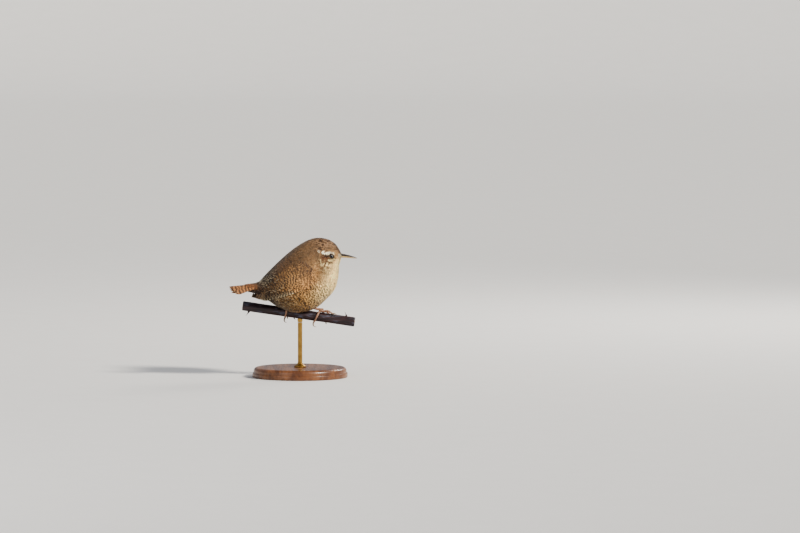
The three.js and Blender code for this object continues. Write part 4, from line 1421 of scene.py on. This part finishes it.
top = PERCH_HEIGHT - PERCH_RADIUS - 2.5
seat = BASE_THICKNESS + 0.05
foot_of_rod = BASE_THICKNESS - 3.6
profile = [[AXIS, foot_of_rod], [ROD_RADIUS, foot_of_rod], [ROD_RADIUS, seat], [4.1, seat],
           [4.2, seat + 0.2], [4.15, seat + 0.8], [3.6, seat + 1.3], [2.6, seat + 1.9], [1.95, seat + 2.4],
           [1.95, seat + 2.9], [1.65, seat + 3.2], [ROD_RADIUS, seat + 4], [ROD_RADIUS, top], [AXIS, top]]
rod = mesh_object("rod_turned", *lathe(profile, 64), rod_look, "rod_metal")
rod.data.set_sharp_from_angle(angle=math.radians(40))
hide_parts("stand_rod")
saddle = bpy.data.objects["stand_saddle"]
saddle.data.materials.clear()
saddle.data.materials.append(rod_look)


# Floor, light and camera

def stage_material():
    m = Nodes("floor")
    fine = m.noise(m.place, 40, 2.0)
    return m.set(color=m.mix(fine, (0.70, 0.69, 0.67), (0.73, 0.72, 0.70)), roughness=0.9)


# The floor sweeps up a little all round, far behind the model, so that it has no edge.
FLOOR_RADIUS = 5.6
SWEEP_WIDTH = 1.2
SWEEP_HEIGHT = 0.35
flat = FLOOR_RADIUS - SWEEP_WIDTH
rim = [[0.01, 0.0], [1.0, 0.0], [2.5, 0.0]]
rim += [[flat + SWEEP_WIDTH * k, SWEEP_HEIGHT * k * k] for k in np.linspace(0, 1, 16)]
points, faces = lathe(np.array(rim) * 1000, 96)
floor = mesh_object("floor", points - [0, 0, 0.00005], faces[:, ::-1], stage_material(), None)

world = bpy.data.worlds.new("studio")
world.use_nodes = True
world.node_tree.nodes["Background"].inputs[0].default_value = (0.86, 0.90, 1.0, 1)
world.node_tree.nodes["Background"].inputs[1].default_value = 0.38
bpy.context.scene.world = world
bpy.context.scene.view_settings.look = "AgX - Medium High Contrast"


def aim(obj, target):
    away = np.array(obj.location) - np.array(target)
    obj.rotation_euler = Vector(away).to_track_quat("Z", "Y").to_euler()


def soft_light(name, where, target, size, watts, colour):
    light = bpy.data.lights.new(name, "AREA")
    light.shape = "DISK"
    light.size = size
    light.energy = watts
    light.color = colour
    obj = bpy.data.objects.new(name, light)
    obj.location = where
    bpy.context.scene.collection.objects.link(obj)
    aim(obj, target)


sun = bpy.data.lights.new("key", "SUN")
sun.energy = 4.6
sun.angle = math.radians(9)
sun.color = (1.0, 0.95, 0.86)
sun_object = bpy.data.objects.new("key", sun)
sun_object.location = (0.78, -0.50, 0.66)
bpy.context.scene.collection.objects.link(sun_object)
aim(sun_object, (0, 0, 0.07))
soft_light("fill", (-0.7, -0.9, 0.45), (0, 0, 0.06), 0.7, 2.2, (0.92, 0.95, 1.0))
soft_light("rim", (0.5, 0.6, 0.5), (0, 0, 0.07), 0.35, 3.0, (1.0, 0.96, 0.9))

LENS = 300.0
SENSOR = 36.0
CAMERA_RISE = math.radians(4)
PHOTO_WIDTH = 800
PHOTO_MIDDLE = (400, 266.5)
# Photo pixels to a millimetre at the bird, and the pixel that shows the frame's axis at BODY_PLACE's height
PIXELS = 1.4
AXIS_PIXEL = (300, 312)
distance = PHOTO_WIDTH / PIXELS * LENS / SENSOR * 0.001
aside = (PHOTO_MIDDLE[0] - AXIS_PIXEL[0]) / PIXELS
above = (AXIS_PIXEL[1] - PHOTO_MIDDLE[1]) / PIXELS
look = np.array([aside, 0, above + BODY_PLACE[2]]) * 0.001
camera_data = bpy.data.cameras.new("camera")
camera_data.lens = LENS
camera_data.sensor_width = SENSOR
camera_data.clip_start = 0.05
camera_data.clip_end = 200
camera = bpy.data.objects.new("camera", camera_data)
camera.location = look + distance * np.array([0, -math.cos(CAMERA_RISE), math.sin(CAMERA_RISE)])
bpy.context.scene.collection.objects.link(camera)
aim(camera, look)
bpy.context.scene.camera = camera
